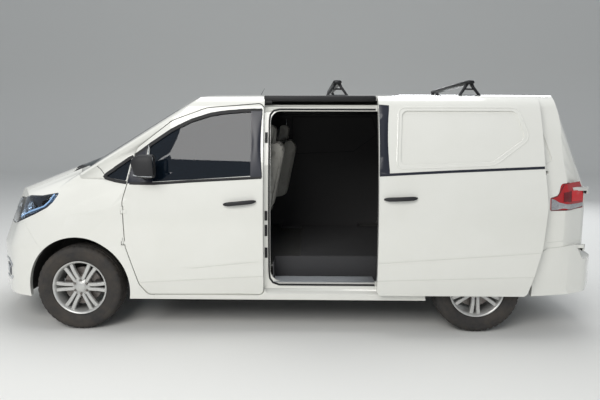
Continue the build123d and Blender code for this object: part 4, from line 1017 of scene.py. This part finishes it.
# Cab.
# A moulded dashboard and wheel, and seats in pale grey cloth with dark piping.
# The pads are foam on a steel frame, and stand on a closed plinth of grained plastic.

finish_nodes(trim_dark, "dashboard")
finish_nodes(grained_black, "steering_wheel")
# Woven polyester: pale warm grey, with a fine dark fleck
cloth = worn("woven_seat_cloth", "#A5A39C", "#8E8C86", 0.004, 0.25, 0.9, 0.0012)


def islands(mesh):
    """The separate solids of a mesh, each as points and faces, lowest first."""
    grid = bmesh.new()
    grid.from_mesh(mesh)
    bmesh.ops.remove_doubles(grid, verts=grid.verts, dist=0.00002)
    grid.verts.ensure_lookup_table()
    seen, groups = set(), []
    for vert in grid.verts:
        if vert.index in seen:
            continue
        stack, found = [vert], []
        seen.add(vert.index)
        while stack:
            at = stack.pop()
            found.append(at)
            for edge in at.link_edges:
                other = edge.other_vert(at)
                if other.index not in seen:
                    seen.add(other.index)
                    stack.append(other)
        place = {v.index: i for i, v in enumerate(found)}
        faces = {f for v in found for f in v.link_faces}
        rows = sorted((f.index, [place[v.index] for v in f.verts]) for f in faces)
        groups.append(([v.co.copy() for v in found], [row for _, row in rows]))
    grid.free()
    return sorted(groups, key=lambda g: sum(v.z for v in g[0]) / len(g[0]))


pad_voxel, pad_pressure, pad_steps = 0.009, 4, 20


def puffed(name, verts, faces, inset, reach):
    """A pad blown up a little from its solid, whose points move no further than reach."""
    pad = from_lists(name, verts, faces, "body", "fabric", cloth, 60)
    bpy.context.view_layer.objects.active = pad
    bpy.ops.object.select_all(action="DESELECT")
    pad.select_set(True)
    pad.data.remesh_voxel_size = pad_voxel
    bpy.ops.object.voxel_remesh()
    for vert in pad.data.vertices:
        vert.co -= vert.normal * inset
    start = [v.co.copy() for v in pad.data.vertices]
    cloth_sim = pad.modifiers.new("stuffing", "CLOTH")
    cloth_sim.settings.use_pressure = True
    cloth_sim.settings.uniform_pressure_force = pad_pressure
    cloth_sim.settings.effector_weights.gravity = 0
    for i in range(1, pad_steps + 1):
        bpy.context.scene.frame_set(i)
    graph = bpy.context.evaluated_depsgraph_get()
    blown = [v.co.copy() for v in pad.evaluated_get(graph).data.vertices]
    pad.modifiers.remove(cloth_sim)
    bpy.context.scene.frame_set(1)
    for vert, a, b in zip(pad.data.vertices, start, blown):
        step = b - a
        vert.co = a + step * min(1, reach / max(step.length, 1e-9))
    finer = pad.modifiers.new("finer", "SUBSURF")
    finer.levels = finer.render_levels = 1
    bpy.ops.object.modifier_apply(modifier=finer.name)
    pad.data.materials.clear()
    pad.data.materials.append(cloth)
    pad.data.shade_smooth()
    return pad


for name, facing, y in (("seat_driver", 0.590, -0.430), ("seat_passenger", 0.675, 0.430)):
    groups = islands(nodes[name].data)
    base = from_lists(f"{name}_plinth", *groups[0], "body", "black_plastic", grained_black, 30)
    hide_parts(name)
    for i, (verts, faces) in enumerate(groups[1:]):
        puffed(f"{name}_pad_{i}", verts, faces, inset=0.010, reach=0.022)
    # Piping along both edges of the back and of the cushion
    for s in (-1, 1):
        edge = y + s * 0.226
        rows = [(facing - 0.424, 0.960), (facing - 0.470, 1.130), (facing - 0.530, 1.330),
            (facing - 0.580, 1.490), (facing - 0.640, 1.512)]
        bar_along(f"{name}_back_piping_{s}", [((x, edge, z), 0.006, 0.006, (0, 1, 0), (1, 0, 0)) for x,
            z in rows], "body", "fabric", rubber, 10)
        bar_along(f"{name}_cushion_piping_{s}", [((facing + dx, y + s * 0.238, 0.922), 0.005, 0.005,
            *crosswise) for dx in (-0.38, -0.20, -0.06)], "body", "fabric", rubber, 10)
finish_nodes(tyre_rubber, "spare_wheel")

# Studio.
# A pale paper floor that rises into the backdrop, three soft lamps and the photograph's camera.

studio, shader = new_material("studio_paper")
place = add_node(studio, "ShaderNodeTexCoord")
fibre = add_node(studio, "ShaderNodeTexNoise", {"Scale": 60.0, "Detail": 3.0},
    {"Vector": place.outputs["Object"]})
paper_rough = add_node(studio, "ShaderNodeMapRange", {"To Min": 0.85, "To Max": 0.95},
    {"Value": fibre.outputs["Fac"]})
wire(studio, paper_rough.outputs["Result"], shader, "Roughness")
shader.inputs["Base Color"].default_value = colour("#DDDDDA")
sweep = []
for i in range(13):
    a = radians(90 * i / 12)
    sweep.append((-14 - 4 * sin(a), 4 - 4 * cos(a)))
profile = [(24, 0), (-14, 0)] + sweep[1:] + [(-18, 14)]
verts = [(x, y, z) for x in (-30, 30) for y, z in profile]
count = len(profile)
faces = [(i, count + i, count + i + 1, i + 1) for i in range(count - 1)]
mesh = bpy.data.meshes.new("studio_sweep")
mesh.from_pydata(verts, [], faces)
mesh.shade_smooth()
mesh.materials.append(studio)
ground = bpy.data.objects.new("studio_sweep", mesh)
bpy.context.scene.collection.objects.link(ground)

world = bpy.data.worlds.new("studio_air")
bpy.context.scene.world = world
world.use_nodes = True
air = world.node_tree.nodes["Background"]
air.inputs["Color"].default_value = (0.86, 0.90, 0.95, 1)
air.inputs["Strength"].default_value = 0.50


def soft_lamp(name, place, target, size, watts, tint):
    """A square soft lamp."""
    data = bpy.data.lights.new(name, "AREA")
    data.shape = "RECTANGLE"
    data.size, data.size_y = size
    data.energy = watts
    data.color = tint
    lamp = bpy.data.objects.new(name, data)
    lamp.location = place
    lamp.rotation_euler = (Vector(target) - Vector(place)).to_track_quat("-Z", "Y").to_euler()
    bpy.context.scene.collection.objects.link(lamp)
    return lamp


soft_lamp("key_lamp", (2.5, 7.5, 5.5), (0, 0, 0.9), (5, 4), 400, (1.0, 0.98, 0.95))
soft_lamp("top_lamp", (0, -1, 7.5), (0, 0, 0.5), (7, 5), 300, (1.0, 1.0, 1.0))
soft_lamp("far_lamp", (-4, -7, 4.0), (0, 0, 1.0), (4, 3), 200, (0.95, 0.97, 1.0))

camera_place = (-0.1971, 5.1543, 1.6347)
yaw, pitch, roll = radians(-0.892), radians(7.017), radians(0.119)
focal_pixels, centre_pixel, frame_pixels, film_width = 540.1, (296.8, 194.05), (600, 400), 36
ahead = Vector((-sin(yaw) * cos(pitch), -cos(yaw) * cos(pitch), -sin(pitch)))
across = Vector((-cos(yaw), sin(yaw), 0))
above = across.cross(ahead)
right = across * cos(roll) + above * sin(roll)
up = above * cos(roll) - across * sin(roll)
lens_data = bpy.data.cameras.new("camera")
lens_data.sensor_width = film_width
lens_data.lens = focal_pixels / frame_pixels[0] * film_width
lens_data.shift_x = (frame_pixels[0] / 2 - centre_pixel[0]) / frame_pixels[0]
lens_data.shift_y = (centre_pixel[1] - frame_pixels[1] / 2) / frame_pixels[0]
camera = bpy.data.objects.new("camera", lens_data)
turn = Matrix((right, up, -ahead)).transposed().to_4x4()
camera.matrix_world = Matrix.Translation(camera_place) @ turn
bpy.context.scene.collection.objects.link(camera)
bpy.context.scene.camera = camera
bpy.context.scene.view_settings.view_transform = "Standard"
